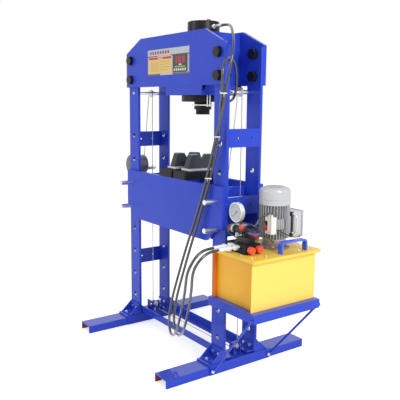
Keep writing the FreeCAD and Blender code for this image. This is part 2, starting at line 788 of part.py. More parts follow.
motor = turned([(0, lidTop), (flangeMotorR + 22, lidTop), (flangeMotorR + 22, lidTop + 12),
                (flangeMotorR, lidTop + 14), (flangeMotorR, motorLow), (motorCoreR, motorLow),
                (motorCoreR, motorTop), (0, motorTop)],
               motorX, motorY, 0, up)
for k in range(finCount):
    fin = block(motorCoreR - 3, motorR, -finT / 2, finT / 2, motorLow, motorTop)
    fin.rotate(vec(0, 0, 0), up, 360 * k / finCount)
    fin.translate(vec(motorX, motorY, 0))
    motor = motor.fuse(fin)
motor = motor.fuse(block(terminalX[0] + 10, terminalX[1] - 10, motorY + 60, terminalY[0],
                         terminalZ[0] + 25, terminalZ[1] - 23))
motor = motor.fuse(block(switchX[0] + 6, switchX[1] - 16, switchY[1], motorY,
                         switchZ[0] + 17, switchZ[1] - 17))
save("motor_body", motor.removeSplitter())

cowl = turned([(0, motorTop), (cowlR - 2, motorTop), (cowlR, motorTop + 2), (cowlR, cowlBand - 2),
               (cowlR - 2, cowlBand), (cowlR - 2, cowlBand + 3), (cowlR, cowlBand + 5), (cowlR, cowlTop - 22),
               (cowlR - 4, cowlTop - 12), (cowlR - 14, cowlTop - 4), (cowlR - 30, cowlTop), (0, cowlTop)],
              motorX, motorY, 0, up)
save("fan_cowl", cowl)

terminal = rounded(block(*terminalX, *terminalY, *terminalZ), 5.0, isUpright)
save("terminal_box", terminal)

switch = rounded(block(*switchX, *switchY, *switchZ), 3.0, isUpright)
switch = switch.cut(block(rockerX[0], rockerX[1], switchY[0] - 1, switchY[0] + 14, rockerZ[0], rockerZ[1]))
save("switch_box", switch)

rockerMid = (rockerZ[0] + rockerZ[1]) / 2
rockerSide = [(switchY[0] + 10, rockerMid), (switchY[0] + 1, rockerZ[0] + rockerGap),
              (switchY[0] - 4, rockerZ[0] + rockerGap), (switchY[0] - 1.5, rockerMid),
              (switchY[0] - 4, rockerZ[1] - rockerGap), (switchY[0] + 1, rockerZ[1] - rockerGap)]
rockerStart = rockerX[0] + rockerPlay
rockerW = rockerX[1] - rockerX[0] - 2 * rockerPlay
rocker = prism(rockerSide, "yz", rockerStart, rockerW)
rocker = rocker.fuse(rod(rockerStart, switchY[0] + 10, rockerMid, pivotR, rockerW, outX))
save("switch_rocker", rocker.removeSplitter())

# ---- manifold, gauge, valve and its controls

manifoldTop = lidTop + manifoldH
manifold = block(manifoldX[0], manifoldX[1], manifoldY[0], manifoldY[1], lidTop, manifoldTop)
manifold = manifold.makeChamfer(2.0, [e for e in manifold.Edges if isUpright(e)])
for y in knobY:
    manifold = manifold.fuse(rod(manifoldX[1], y, knobZ, 10.0, 6.0, outX))
    manifold = manifold.cut(rod(manifoldX[1] - 14, y, knobZ, 6.0 + shaftFit, 21.0, outX))
save("manifold_block", manifold.removeSplitter())

knob = [(0, -12), (6, -12), (6, 6.5), (13, 6.5), (knobR - 1, 8.5), (knobR, 10.5), (knobR, 6.5 + knobLen - 3),
        (knobR - 3, 6.5 + knobLen), (0, 6.5 + knobLen)]
for name, y in (("front_knob", knobY[0]), ("rear_knob", knobY[1])):
    save(name, turned(knob, manifoldX[1], y, knobZ, outX))

dialY = gaugeY - gaugeD / 2
case = turned([(0, 0), (gaugeR - 4, 0), (gaugeR, 4), (gaugeR, gaugeD), (gaugeR - gaugeRim, gaugeD),
               (gaugeR - gaugeRim, gaugeD - 9), (3.0, gaugeD - 9), (3.0, gaugeD - 14), (0, gaugeD - 14)],
              gaugeX, dialY + gaugeD, gaugeZ, vec(0, -1, 0))
stem = rod(gaugeX, gaugeY, lidTop, stemR, gaugeZ - lidTop - gaugeR + 6, up)
stem = stem.fuse(hexagon(gaugeX, gaugeY, lidTop, 27.0, 20.0, up))
stem = stem.fuse(hexagon(gaugeX, gaugeY, gaugeZ - gaugeR - 22, 20.0, 16.0, up))
save("gauge_case", case.fuse(stem).removeSplitter())

needle = prism([(-2.5, -12), (2.5, -12), (0.6, 40), (-0.6, 40)], "xz", dialY + 3.5, 1.5)
needle = needle.fuse(rod(0, dialY + 3.0, 0, 5.0, 3.0, outY)).fuse(rod(0, dialY + 5, 0, 2.9, 8.0, outY))
needle.rotate(vec(0, 0, 0), outY, 225)
needle.translate(vec(gaugeX, 0, gaugeZ))
save("gauge_needle", needle)

valve = block(valveX - 32, valveX + 32, valveY - 34, valveY + 34, manifoldTop, manifoldTop + 34)
valve = valve.fuse(rod(valveX, valveY, manifoldTop + 34, 24.0, 8.0, up))
valve = valve.fuse(rod(valveX, valveY, manifoldTop + 42, 18.0, 8.0, up))
valveMid = manifoldTop + 60
coil = [(0, -132), (20, -132), (22, -130), (22, -82), (14, -82), (14, -76), (19, -76), (19, 44), (24, 44),
        (24, 88), (20, 91), (0, 91)]
valve = valve.fuse(turned(coil, valveX, valveY, valveMid, outX))
valve = valve.cut(rod(valveX, valveY - 40, leverPivotZ, 5.0 + shaftFit, 42, outY))
save("valve_body", valve.removeSplitter())

lever = rod(valveX, valveY - 38, leverPivotZ, 5.0, 38, outY)
lever = lever.fuse(rod(valveX, valveY - 34, leverPivotZ, 4.0, leverZ - leverPivotZ, up))
ball = Part.makeSphere(leverBallR, vec(valveX, valveY - 34, leverZ))
save("valve_lever", lever.fuse(ball))

# ---- hoses: straight runs joined by tangent arcs

pressureRoute = [(700, -332, 794), (700, -383, 794), (701, -432, 773), (692, -464, 729),
                 (664, -472, 668), (622, -450, 598), (574, -425, 520), (511, -402, 410),
                 (448, -378, 311), (391, -356, 243), (329, -332, 196), (265, -306, 172),
                 (210, -282, 182), (172, -262, 226), (158, -246, 289), (166, -230, 380),
                 (200, -213, 512), (258, -198, 688), (322, -186, 848), (382, -177, 1005),
                 (440, -172, 1171), (487, -173, 1312), (547, -180, 1444), (589, -181, 1583),
                 (618, -182, 1692), (628, -170, 1775), (599, -138, 1847), (533, -94, 1904),
                 (452, -40, 1950), (372, 0, 1971), (318, 0, 1971)]
returnRoute = [(742, -332, 791), (742, -383, 791), (743, -432, 770), (733, -467, 728), (712, -472, 674),
               (666, -442, 594), (616, -416, 514), (557, -388, 420), (494, -360, 329), (435, -336, 258),
               (372, -311, 207), (306, -286, 177), (247, -264, 179), (202, -246, 216), (183, -232, 281),
               (192, -218, 379), (228, -207, 500), (284, -196, 664), (348, -186, 834), (408, -176, 1000),
               (453, -160, 1155), (486, -152, 1290), (508, -155, 1386), (532, -170, 1470),
               (563, -190, 1545), (590, -205, 1606), (604, -212, 1653), (605, -214, 1702),
               (594, -193, 1744), (576, -156, 1768), (555, -113, 1768), (534, -76, 1744),
               (523, -56, 1702), (521, -53, 1655), (520, -51, 1612), (497, -45, 1571), (457, -32, 1546),
               (405, -12, 1545), (354, 0, 1552), (300, 0, 1552)]
for name, route in (("pressure_hose", pressureRoute), ("return_hose", returnRoute)):
    edges, smallest = joined([vec(*point) for point in route])
    path = Part.Wire(edges)
    tube = tubeSolid(path, hoseR)
    ideal = path.Length * math.pi * hoseR ** 2
    print(name, "length", round(path.Length), "least radius", round(smallest), "volume ratio",
          round(tube.Volume / ideal, 4))
    save(name, tube)
print("wire_rope length", round(ropePath.Length), "volume ratio",
      round(rope.Volume / (ropePath.Length * math.pi * ropeR ** 2), 4))

# ---- hose fittings: couplings by the tank and elbows on the cylinder

fittings = []
for route in (pressureRoute, returnRoute):
    mouth = vec(*route[0])
    length = manifoldY[0] - mouth.y
    sleeve = [(0, 0)]
    for k in range(4):
        at = ringPitch * k
        sleeve += [(couplingR, at), (couplingR, at + 9), (couplingR - 2, at + 11), (couplingR - 2, at + 13)]
    sleeve += [(couplingR - 3, sleeveLen), (couplingR - 3, length), (0, length)]
    fitting = turned(sleeve, mouth.x, mouth.y, mouth.z, outY)
    fitting = fitting.fuse(hexagon(mouth.x, mouth.y + sleeveLen + 2, mouth.z, nutAf, nutT, outY))
    fitting = fitting.fuse(hexagon(mouth.x, mouth.y + length - endNutBack, mouth.z, nutAf, endNutT, outY))
    fittings.append(fitting)
for route in (pressureRoute, returnRoute):
    endX, endZ = route[-1][0], route[-1][2]
    reach = cylinderR if endZ > beamBottom else flangeR
    elbow = rod(ramX + reach - 2, 0, endZ, couplingR - 3, endX - ramX - reach + 2, outX)
    elbow = elbow.fuse(rod(endX - ferruleLen, 0, endZ, couplingR, ferruleLen, outX))
    elbow = elbow.fuse(hexagon(ramX + reach - 2, 0, endZ, elbowNutAf, elbowNutT, outX))
    fittings.append(elbow.cut(rod(ramX, 0, endZ - 30, reach, 60, up)))
save("hose_fittings", Part.makeCompound(fittings))
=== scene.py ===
import bmesh
import bpy
import math
from mathutils import Matrix, Vector


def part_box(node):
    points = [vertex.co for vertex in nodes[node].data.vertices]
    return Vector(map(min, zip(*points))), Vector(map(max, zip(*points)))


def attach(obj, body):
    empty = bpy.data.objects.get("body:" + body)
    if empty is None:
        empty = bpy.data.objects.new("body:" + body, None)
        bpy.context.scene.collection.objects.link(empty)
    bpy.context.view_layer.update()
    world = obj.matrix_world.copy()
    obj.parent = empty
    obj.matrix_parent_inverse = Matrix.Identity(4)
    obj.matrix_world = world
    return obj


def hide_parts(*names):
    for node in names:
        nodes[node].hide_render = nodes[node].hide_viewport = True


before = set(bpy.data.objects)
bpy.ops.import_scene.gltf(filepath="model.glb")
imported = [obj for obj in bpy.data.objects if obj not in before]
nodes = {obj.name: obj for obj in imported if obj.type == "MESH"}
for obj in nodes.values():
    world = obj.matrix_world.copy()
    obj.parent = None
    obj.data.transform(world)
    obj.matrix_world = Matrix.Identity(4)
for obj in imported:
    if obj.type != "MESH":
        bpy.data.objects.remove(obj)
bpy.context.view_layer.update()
print("stage: frame loaded,", len(nodes), "nodes")

# camera

view = {
    "place": (2.9429, -2.1262, 1.5274),   # metres, where the photographer stands
    "yaw": 54.18, "pitch": -9.23, "roll": 0.53,
    "lens": 53.19,
}


def makeCamera(settings):
    yaw, pitch, roll = (math.radians(settings[k]) for k in ("yaw", "pitch", "roll"))
    ahead = Vector((-math.sin(yaw) * math.cos(pitch), math.cos(yaw) * math.cos(pitch), math.sin(pitch)))
    side = Vector((math.cos(yaw), math.sin(yaw), 0))
    above = side.cross(ahead)
    right = side * math.cos(roll) + above * math.sin(roll)
    top = above * math.cos(roll) - side * math.sin(roll)
    data = bpy.data.cameras.new("pressCamera")
    data.sensor_width = 36
    data.lens = settings["lens"]
    data.clip_start, data.clip_end = 0.05, 60
    camera = bpy.data.objects.new("pressCamera", data)
    bpy.context.scene.collection.objects.link(camera)
    turn = Matrix((right, top, -ahead)).transposed().to_4x4()
    camera.matrix_world = Matrix.Translation(settings["place"]) @ turn
    bpy.context.scene.camera = camera


makeCamera(view)
bpy.context.scene.view_settings.view_transform = "Standard"

# shader sums


class Wire:                               # a socket that can be added, multiplied and compared
    def __init__(self, mix, socket):
        self.mix = mix
        self.socket = socket

    def maths(self, kind, *values):
        return self.mix.node("ShaderNodeMath", {"operation": kind}, dict(enumerate(values)))

    def __add__(self, other):
        return self.maths("ADD", self, other)

    def __radd__(self, other):
        return self.maths("ADD", other, self)

    def __sub__(self, other):
        return self.maths("SUBTRACT", self, other)

    def __rsub__(self, other):
        return self.maths("SUBTRACT", other, self)

    def __mul__(self, other):
        return self.maths("MULTIPLY", self, other)

    def __rmul__(self, other):
        return self.maths("MULTIPLY", other, self)

    def __truediv__(self, other):
        return self.maths("DIVIDE", self, other)

    def __rtruediv__(self, other):
        return self.maths("DIVIDE", other, self)

    def __gt__(self, other):
        return self.maths("GREATER_THAN", self, other)

    def __lt__(self, other):
        return self.maths("LESS_THAN", self, other)

    def __pow__(self, other):
        return self.maths("POWER", self, other)

    def __abs__(self):
        return self.maths("ABSOLUTE", self)

    def fraction(self):
        return self.maths("FRACT", self)

    def sine(self):
        return self.maths("SINE", self)

    def top(self, other):
        return self.maths("MAXIMUM", self, other)

    def within(self, low, high):
        return (self > low) * (self < high)


class Mix:                                # a node tree whose new nodes all come from one method
    def __init__(self, tree):
        self.tree = tree

    def node(self, kind, settings, values, out=0):
        made = self.tree.nodes.new(kind)
        for key, value in settings.items():
            setattr(made, key, value)
        for key, value in values.items():
            if isinstance(value, Wire):
                self.tree.links.new(value.socket, made.inputs[key])
            elif isinstance(value, tuple) and made.inputs[key].type == "RGBA":
                made.inputs[key].default_value = (*value, 1)
            else:
                made.inputs[key].default_value = value
        return Wire(self, made.outputs[out])

    def plainRays(self):                  # 1 for the rays that see plain white behind the press
        path = self.node("ShaderNodeLightPath", {}, {}).socket.node
        camera, glossy, through = (Wire(self, path.outputs["Is " + kind + " Ray"])
                                   for kind in ("Camera", "Glossy", "Transmission"))
        return camera.top(glossy.top(through))

    def send(self, shader, end):          # links the finished shader to the tree's output node
        self.tree.links.new(shader.socket, self.tree.nodes[end].inputs[0])


class Finish(Mix):                        # one material and its tree
    def __init__(self, name, roughness, metallic=0.0, coat=0.0, specular=0.5):
        self.material = bpy.data.materials.new(name)
        self.material.use_nodes = True
        super().__init__(self.material.node_tree)
        self.shader = self.tree.nodes["Principled BSDF"]
        for socket, value in (("Roughness", roughness), ("Metallic", metallic), ("Coat Weight", coat),
                              ("Specular IOR Level", specular)):
            self.feed(socket, value)
        self.place = self.node("ShaderNodeTexCoord", {}, {}, "Object")
        self.x, self.y, self.z = self.split(self.place)

    def feed(self, socket, value):
        if isinstance(value, Wire):
            self.tree.links.new(value.socket, self.shader.inputs[socket])
        else:
            self.shader.inputs[socket].default_value = (*value, 1) if isinstance(value, tuple) else value

    def split(self, value):
        parts = self.node("ShaderNodeSeparateXYZ", {}, {0: value}).socket.node
        return [Wire(self, out) for out in parts.outputs]

    def facing(self):                     # the surface's own direction, in the object's axes
        return self.split(self.node("ShaderNodeNewGeometry", {}, {}, "True Normal"))

    def away(self, middle):               # distance from an upright line through middle
        return ((self.x - middle.x) ** 2.0 + (self.y - middle.y) ** 2.0) ** 0.5

    def mixed(self, share, first, second):
        return self.node("ShaderNodeMix", {"data_type": "RGBA"}, {0: share, 6: first, 7: second}, 2)

    def noise(self, scale, detail=2.0, stretch=(1, 1, 1)):
        moved = self.node("ShaderNodeMapping", {}, {0: self.place, 3: stretch})
        return self.node("ShaderNodeTexNoise", {}, {"Vector": moved, "Scale": scale, "Detail": detail})

    def bump(self, height, distance, strength, edge=0.0):
        values = {"Height": height, "Distance": distance, "Strength": strength}
        if edge:
            values["Normal"] = self.node("ShaderNodeBevel", {"samples": 4}, {"Radius": edge})
        self.feed("Normal", self.node("ShaderNodeBump", {}, values))


# floor and light

studio = {
    "world": 0.6,                         # light from all round
    "key": (4.2, -0.5, 2.9), "keyPower": 118.0, "keySize": 1.6,
    "front": (-1.6, -4.4, 2.6), "frontPower": 54.0, "frontSize": 2.0,
    "aim": (0, 0, 0.9),                   # what both lamps point at
    "floorSize": 40, "floorDrop": 0.0005, "floorColour": (0.86, 0.86, 0.86), "floorGlow": 0.55,
    "white": (1, 1, 1),
}


def makeWorld(settings):
    world = bpy.data.worlds.new("studio")
    bpy.context.scene.world = world
    world.use_nodes = True
    air = Mix(world.node_tree)
    sky = air.tree.nodes["Background"]
    sky.inputs["Strength"].default_value = settings["world"]
    sky.inputs["Color"].default_value = (*settings["white"], 1)
    white = air.node("ShaderNodeBackground", {}, {"Color": settings["white"], "Strength": 1.0})
    seen = air.node("ShaderNodeMixShader", {}, {0: air.plainRays(), 1: Wire(air, sky.outputs[0]), 2: white})
    air.send(seen, "World Output")


def makeLamp(settings, name):
    data = bpy.data.lights.new(name + "Lamp", "AREA")
    data.energy = settings[name + "Power"]
    data.shape = "DISK"
    data.size = settings[name + "Size"]
    lamp = bpy.data.objects.new(name + "Lamp", data)
    bpy.context.scene.collection.objects.link(lamp)
    lamp.location = settings[name]
    way = Vector(settings["aim"]) - Vector(settings[name])
    lamp.rotation_euler = way.to_track_quat("-Z", "Y").to_euler()


def makeFloor(settings):
    bpy.ops.object.select_all(action="DESELECT")
    bpy.ops.mesh.primitive_plane_add(size=settings["floorSize"], location=(0, 0, -settings["floorDrop"]))
    floor = bpy.context.active_object
    floor.name = "studioFloor"
    bpy.ops.object.transform_apply(location=True, rotation=False, scale=False)
    paint = Finish("paleFloor", 0.9, specular=0.1)
    paint.feed("Base Color", settings["floorColour"])
    matt = Wire(paint, paint.shader.outputs[0])
    glow = paint.node("ShaderNodeEmission", {}, {"Color": settings["white"],
                                                 "Strength": settings["floorGlow"]})
    lit = paint.node("ShaderNodeAddShader", {}, {0: matt, 1: glow})
    seen = paint.node("ShaderNodeMixShader", {}, {0: paint.plainRays(), 1: matt, 2: lit})
    paint.send(seen, "Material Output")
    floor.data.materials.append(paint.material)


makeWorld(studio)
makeLamp(studio, "key")
makeLamp(studio, "front")
makeFloor(studio)
print("stage: camera and studio ready")

# paints and metals

enamels = {
    "blue": (0.015, 0.052, 0.55),
    "tank": (1.0, 0.49, 0.025), "tankLitSide": (1.0, 0.68, 0.13), "tankFlangeShade": (0.80, 0.20, 0.015),
    "lid": (1.0, 0.62, 0.07), "handle": (0.04, 0.11, 0.78),
    "silver": (0.46, 0.48, 0.50), "cowl": (0.51, 0.52, 0.54), "terminal": (0.56, 0.57, 0.58),
    "black": (0.009, 0.009, 0.011), "bolt": (0.004, 0.004, 0.005), "winch": (0.125, 0.13, 0.14),
    "redPrimer": (0.36, 0.045, 0.03), "plug": (0.72, 0.1, 0.03),
    "knob": (0.88, 0.085, 0.03), "ball": (0.80, 0.04, 0.025), "cream": (0.80, 0.77, 0.70),
    "label": (0.42, 0.43, 0.44), "gasket": (0.09, 0.05, 0.045),
}
enamelSkin = {
    "cloud": 3.2, "fine": 42.0, "cloudShare": 0.7, "fineShare": 0.3,
    "deep": 0.86, "pale": 1.1, "paleMore": 0.008,
    "gloss": 160.0, "glossSpread": 0.14, "glossDown": 0.06,
    "grain": 520.0, "grainDeep": 0.00012, "grainStrength": 0.5,
}
metalSkin = {
    "cloud": 9.0, "deep": 0.82, "scratch": 260.0, "stretch": (1, 1, 14),
    "spread": 0.22, "down": 0.1, "scratchDeep": 0.00006, "strength": 0.4, "edge": 0.0005,
}
press = {"shift": 122.5}                  # millimetres from the press's middle to the frame's origin


def dress(finish, *names):
    for name in names:
        piece = nodes[name]
        piece.data.materials.clear()
        piece.data.materials.append(finish.material)


def enamelFinish(name, colour, roughness=0.38, coat=0.1, edge=0.0012, specular=0.35):
    skin = enamelSkin
    finish = Finish(name, roughness, 0.0, coat, specular)
    cloud = finish.noise(skin["cloud"], 3.0)
    fine = finish.noise(skin["fine"], 4.0)
    deep = tuple(c * skin["deep"] for c in colour)
    pale = tuple(min(1.0, c * skin["pale"] + skin["paleMore"]) for c in colour)
    finish.tone = finish.mixed(cloud * skin["cloudShare"] + fine * skin["fineShare"], deep, pale)
    finish.feed("Base Color", finish.tone)
    gloss = finish.noise(skin["gloss"], 3.0)
    finish.feed("Roughness", gloss * skin["glossSpread"] + (roughness - skin["glossDown"]))
    finish.bump(finish.noise(skin["grain"]), skin["grainDeep"], skin["grainStrength"], edge)
    return finish


def metalFinish(name, colour, roughness=0.28):
    skin = metalSkin
    finish = Finish(name, roughness, 1.0)
    scratches = finish.noise(skin["scratch"], 3.0, skin["stretch"])
    deep = tuple(c * skin["deep"] for c in colour)
    finish.feed("Base Color", finish.mixed(finish.noise(skin["cloud"], 3.0), deep, colour))
    finish.feed("Roughness", scratches * skin["spread"] + (roughness - skin["down"]))
    finish.bump(scratches, skin["scratchDeep"], skin["strength"], skin["edge"])
    return finish


# blue frame, glossier where it lies level or slopes

blueGloss = {"specular": 0.26, "coatIor": 2.0, "coat": 0.05, "levelCoat": 0.4, "level": 0.25}


def blueEnamel(name):
    finish = enamelFinish(name, enamels["blue"], specular=blueGloss["specular"])
    finish.feed("Coat IOR", blueGloss["coatIor"])
    level = finish.facing()[2] > blueGloss["level"]
    finish.feed("Coat Weight", level * blueGloss["levelCoat"] + blueGloss["coat"])
    return finish


blueNodes = [n for n in nodes if n.endswith(("_tie", "_plate", "_end")) and n != "label_plate"]
dress(blueEnamel("frameBlue"), *blueNodes, "ram_seat", "power_shelf")

# columns, with painted light at the bottom of the pin holes and painted shade at the top

pinHoles = {
    "across": 0.479, "first": 0.192, "pitch": 0.160, "count": 8, "radius": 0.0155,
    "inner": 0.1092, "outer": 0.1258,     # the column's two faces, from the press's middle
    "paintedLightFrom": 0.004,                    # how far under the hole's middle the painted light starts
    "paintedLight": (0.86, 0.89, 0.95), "shade": (0.012, 0.028, 0.30),
}


def pinHoleWalls(finish):
    step = (finish.z - pinHoles["first"]) / pinHoles["pitch"]
    turn = (step + 0.5).fraction()
    fromRow = abs(turn - 0.5) * pinHoles["pitch"]
    fromLine = abs(abs(finish.x + press["shift"] / 1000) - pinHoles["across"])
    inHole = (fromRow ** 2.0 + fromLine ** 2.0) ** 0.5 < pinHoles["radius"]
    inHole = inHole * step.within(-0.5, pinHoles["count"] - 0.5)
    inHole = inHole * abs(finish.y).within(pinHoles["inner"], pinHoles["outer"])
    # inside the holes: painted light on the wall below the middle, painted shade above it
    isPaintedLight = turn < 0.5 - pinHoles["paintedLightFrom"] / pinHoles["pitch"]
    return finish.mixed(inHole, finish.tone, finish.mixed(isPaintedLight, pinHoles["shade"], pinHoles["paintedLight"]))


columnFinish = blueEnamel("columnBlue")
columnFinish.feed("Base Color", pinHoleWalls(columnFinish))
dress(columnFinish, *[n for n in nodes if n.endswith("_column")])

# braces with bright bolts at the foot, and feet with primer inside

braceBolts = {"top": 0.036, "from": 0.4272, "colour": (0.8, 0.81, 0.83)}
braceFinish = blueEnamel("braceBlue")
onBolt = (braceFinish.z < braceBolts["top"]) * (braceFinish.x > braceBolts["from"])
braceFinish.feed("Base Color", braceFinish.mixed(onBolt, braceFinish.tone, braceBolts["colour"]))
dress(braceFinish, "shelf_braces")

footInside = {"top": 0.0432, "near": 0.4263, "far": 0.5317}
footFinish = blueEnamel("footBlue")
footAcross = abs(footFinish.x + press["shift"] / 1000)
inFoot = (footFinish.z < footInside["top"]) * footAcross.within(footInside["near"], footInside["far"])
footFinish.feed("Base Color", footFinish.mixed(inFoot, footFinish.tone, enamels["redPrimer"]))
dress(footFinish, "left_foot", "right_foot")

# black pieces, the cylinder with its orange plug, and the V-blocks with ground ledges, a painted reflection
# on their slopes and a painted highlight along their tops

blackFinish = enamelFinish("blackEnamel", enamels["black"], 0.42, 0.03, 0.0012, 0.18)
dress(blackFinish, "ram", "left_press_block", "right_press_block", "manifold_block")
dress(enamelFinish("boltBlack", enamels["bolt"], 0.22, 0.06, 0.0008, 0.3), "beam_bolts")
dress(enamelFinish("winchGrey", enamels["winch"], 0.3, 0.4), "winch_housing")

plug = {"middle": Vector((0.0175, 0.037, 0)), "radius": 0.016, "tall": 0.0155}
cylinderFinish = enamelFinish("cylinderBlack", enamels["black"], 0.36, 0.04, 0.0012, 0.16)
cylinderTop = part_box("press_cylinder")[1].z
onPlug = cylinderFinish.away(plug["middle"]) < plug["radius"]
onPlug = onPlug * (cylinderFinish.z > cylinderTop - plug["tall"])
cylinderFinish.feed("Base Color", cylinderFinish.mixed(onPlug, cylinderFinish.tone, enamels["plug"]))
dress(cylinderFinish, "press_cylinder")

vBlock = {
    "groundLow": 1.1285, "groundHigh": 1.1402, "groundDull": (0.34, 0.345, 0.35),
    "groundBright": (0.92, 0.93, 0.94),
    "slope": 0.12, "slopeReflection": (0.045, 0.06, 0.078),
    "edge": 0.0035, "edgeHighlight": (0.05, 0.2, 0.17),
    "scuff": 230.0, "scuffStretch": (1, 1, 3), "scuffFrom": 0.48,
}
blockFinish = enamelFinish("vBlockBlack", enamels["black"], 0.36, 0.2)
# faces that slope across get a paler tone: a painted reflection
onSlope = abs(blockFinish.facing()[0]) > vBlock["slope"]
blockTone = blockFinish.mixed(onSlope, blockFinish.tone, vBlock["slopeReflection"])
# a strip along the top edge: a painted highlight
onEdge = blockFinish.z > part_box("left_v_block")[1].z - vBlock["edge"]
blockTone = blockFinish.mixed(onEdge, blockTone, vBlock["edgeHighlight"])
scuffed = blockFinish.noise(vBlock["scuff"], 3.0, vBlock["scuffStretch"]) > vBlock["scuffFrom"]
groundTone = blockFinish.mixed(scuffed, vBlock["groundDull"], vBlock["groundBright"])
onGround = blockFinish.z.within(vBlock["groundLow"], vBlock["groundHigh"])
blockFinish.feed("Base Color", blockFinish.mixed(onGround, blockTone, groundTone))
dress(blockFinish, "left_v_block", "right_v_block")

# bright metal and rope

zinc = {"cloud": 30.0, "metalSpread": 0.3, "metalLeast": 0.35}
rope = {"twist": 900.0, "deep": 0.0003, "strength": 0.6}
steelFinish = metalFinish("brightSteel", (0.82, 0.83, 0.85))
dress(steelFinish, "winch_crank_shaft", "base_bolts",
      *[n for n in nodes if n.endswith("_pulley") or n.startswith("table_pin")])
zincFinish = metalFinish("paleZinc", (0.93, 0.94, 0.95), 0.3)
zincFinish.feed("Metallic", zincFinish.noise(zinc["cloud"]) * zinc["metalSpread"] + zinc["metalLeast"])
dress(zincFinish, "limit_stop", "hose_fittings", "gauge_case")
dress(metalFinish("groundShaft", (0.92, 0.93, 0.94), 0.18), "pulley_shafts")
ropeFinish = metalFinish("ropeWire", (0.42, 0.425, 0.44), 0.4)
strands = (ropeFinish.z * rope["twist"] + ropeFinish.x * rope["twist"]).sine()
ropeFinish.bump(strands, rope["deep"], rope["strength"])
dress(ropeFinish, "wire_rope")

# tank, with painted light on its right face and painted shade on its left flange, and its lid with the blue
# handle

tank = {"right": 0.7, "left": -0.5, "flangeWide": 0.0045, "flangeDeep": 0.0285}
tankLow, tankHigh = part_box("oil_tank")
tankFinish = enamelFinish("tankOrange", enamels["tank"])
tankAcross = tankFinish.facing()[0]
# faces turned to the right get a paler yellow: painted light
tankTone = tankFinish.mixed(tankAcross > tank["right"], tankFinish.tone, enamels["tankLitSide"])
# the inner face of the left flange gets a deeper orange: painted shade
onFlange = (tankFinish.x < tankLow.x + tank["flangeWide"]) * (tankAcross > tank["left"])
onFlange = onFlange * (tankFinish.y < tankLow.y + tank["flangeDeep"])
tankFinish.feed("Base Color", tankFinish.mixed(onFlange, tankTone, enamels["tankFlangeShade"]))
dress(tankFinish, "oil_tank")

lid = {"handleFrom": 0.7566, "handleCoat": 0.6, "coat": 0.1}
lidFinish = enamelFinish("lidYellow", enamels["lid"])
onHandle = lidFinish.z > lid["handleFrom"]
lidFinish.feed("Base Color", lidFinish.mixed(onHandle, lidFinish.tone, enamels["handle"]))
lidFinish.feed("Coat Weight", onHandle * lid["handleCoat"] + lid["coat"])
dress(lidFinish, "tank_lid")

# switch, terminal box and valve with coloured bands on its coils

rockerPaint = {"split": 0.895, "dark": (0.02, 0.02, 0.02), "red": (0.7, 0.02, 0.02)}
rockerFinish = enamelFinish("rockerPlastic", rockerPaint["dark"], 0.3, 0.2, 0.0004)
rockerFinish.feed("Base Color", rockerFinish.mixed(rockerFinish.z < rockerPaint["split"], rockerPaint["dark"],
                                                   rockerPaint["red"]))
dress(rockerFinish, "switch_rocker", "gauge_needle")
creamFinish = enamelFinish("creamPlastic", enamels["cream"], 0.4, 0.1, 0.0006)
dress(creamFinish, "switch_box")

terminalShade = {"to": 0.158, "colour": (0.035, 0.035, 0.038)}
terminalFinish = enamelFinish("terminalSilver", enamels["terminal"], 0.32, 0.15)
terminalFinish.feed("Base Color", terminalFinish.mixed(terminalFinish.y < terminalShade["to"],
                                                       terminalFinish.tone, terminalShade["colour"]))
dress(terminalFinish, "terminal_box")

valveBands = [                            # left, right, bottom, top and colour
    (0.4805, 0.5060, 0.830, 0.8740, (0.36, 0.025, 0.02)),
    (0.4805, 0.5060, 0.874, 0.8885, (0.10, 0.02, 0.02)),
    (0.5060, 0.5165, 0.830, 0.9000, (0.74, 0.74, 0.70)),
    (0.5165, 0.5260, 0.830, 0.9000, (0.05, 0.17, 0.05)),
    (0.6565, 0.7045, 0.830, 0.8640, (0.24, 0.012, 0.014)),
    (0.6565, 0.7045, 0.864, 0.8730, (0.05, 0.11, 0.5)),
    (0.6565, 0.7045, 0.873, 0.9000, (0.03, 0.014, 0.014)),
]
valveFinish = enamelFinish("valvePaint", enamels["black"], 0.4, 0.1, 0.0006)
valveTone = valveFinish.tone
for left, right, low, high, colour in valveBands:
    onBand = valveFinish.x.within(left, right) * valveFinish.z.within(low, high)
    valveTone = valveFinish.mixed(onBand, valveTone, colour)
valveFinish.feed("Base Color", valveTone)
dress(valveFinish, "valve_body")

# label print as plain fields of colour, with painted highlights in two dark bands, as shares of the plate's
# width and height from its left top corner

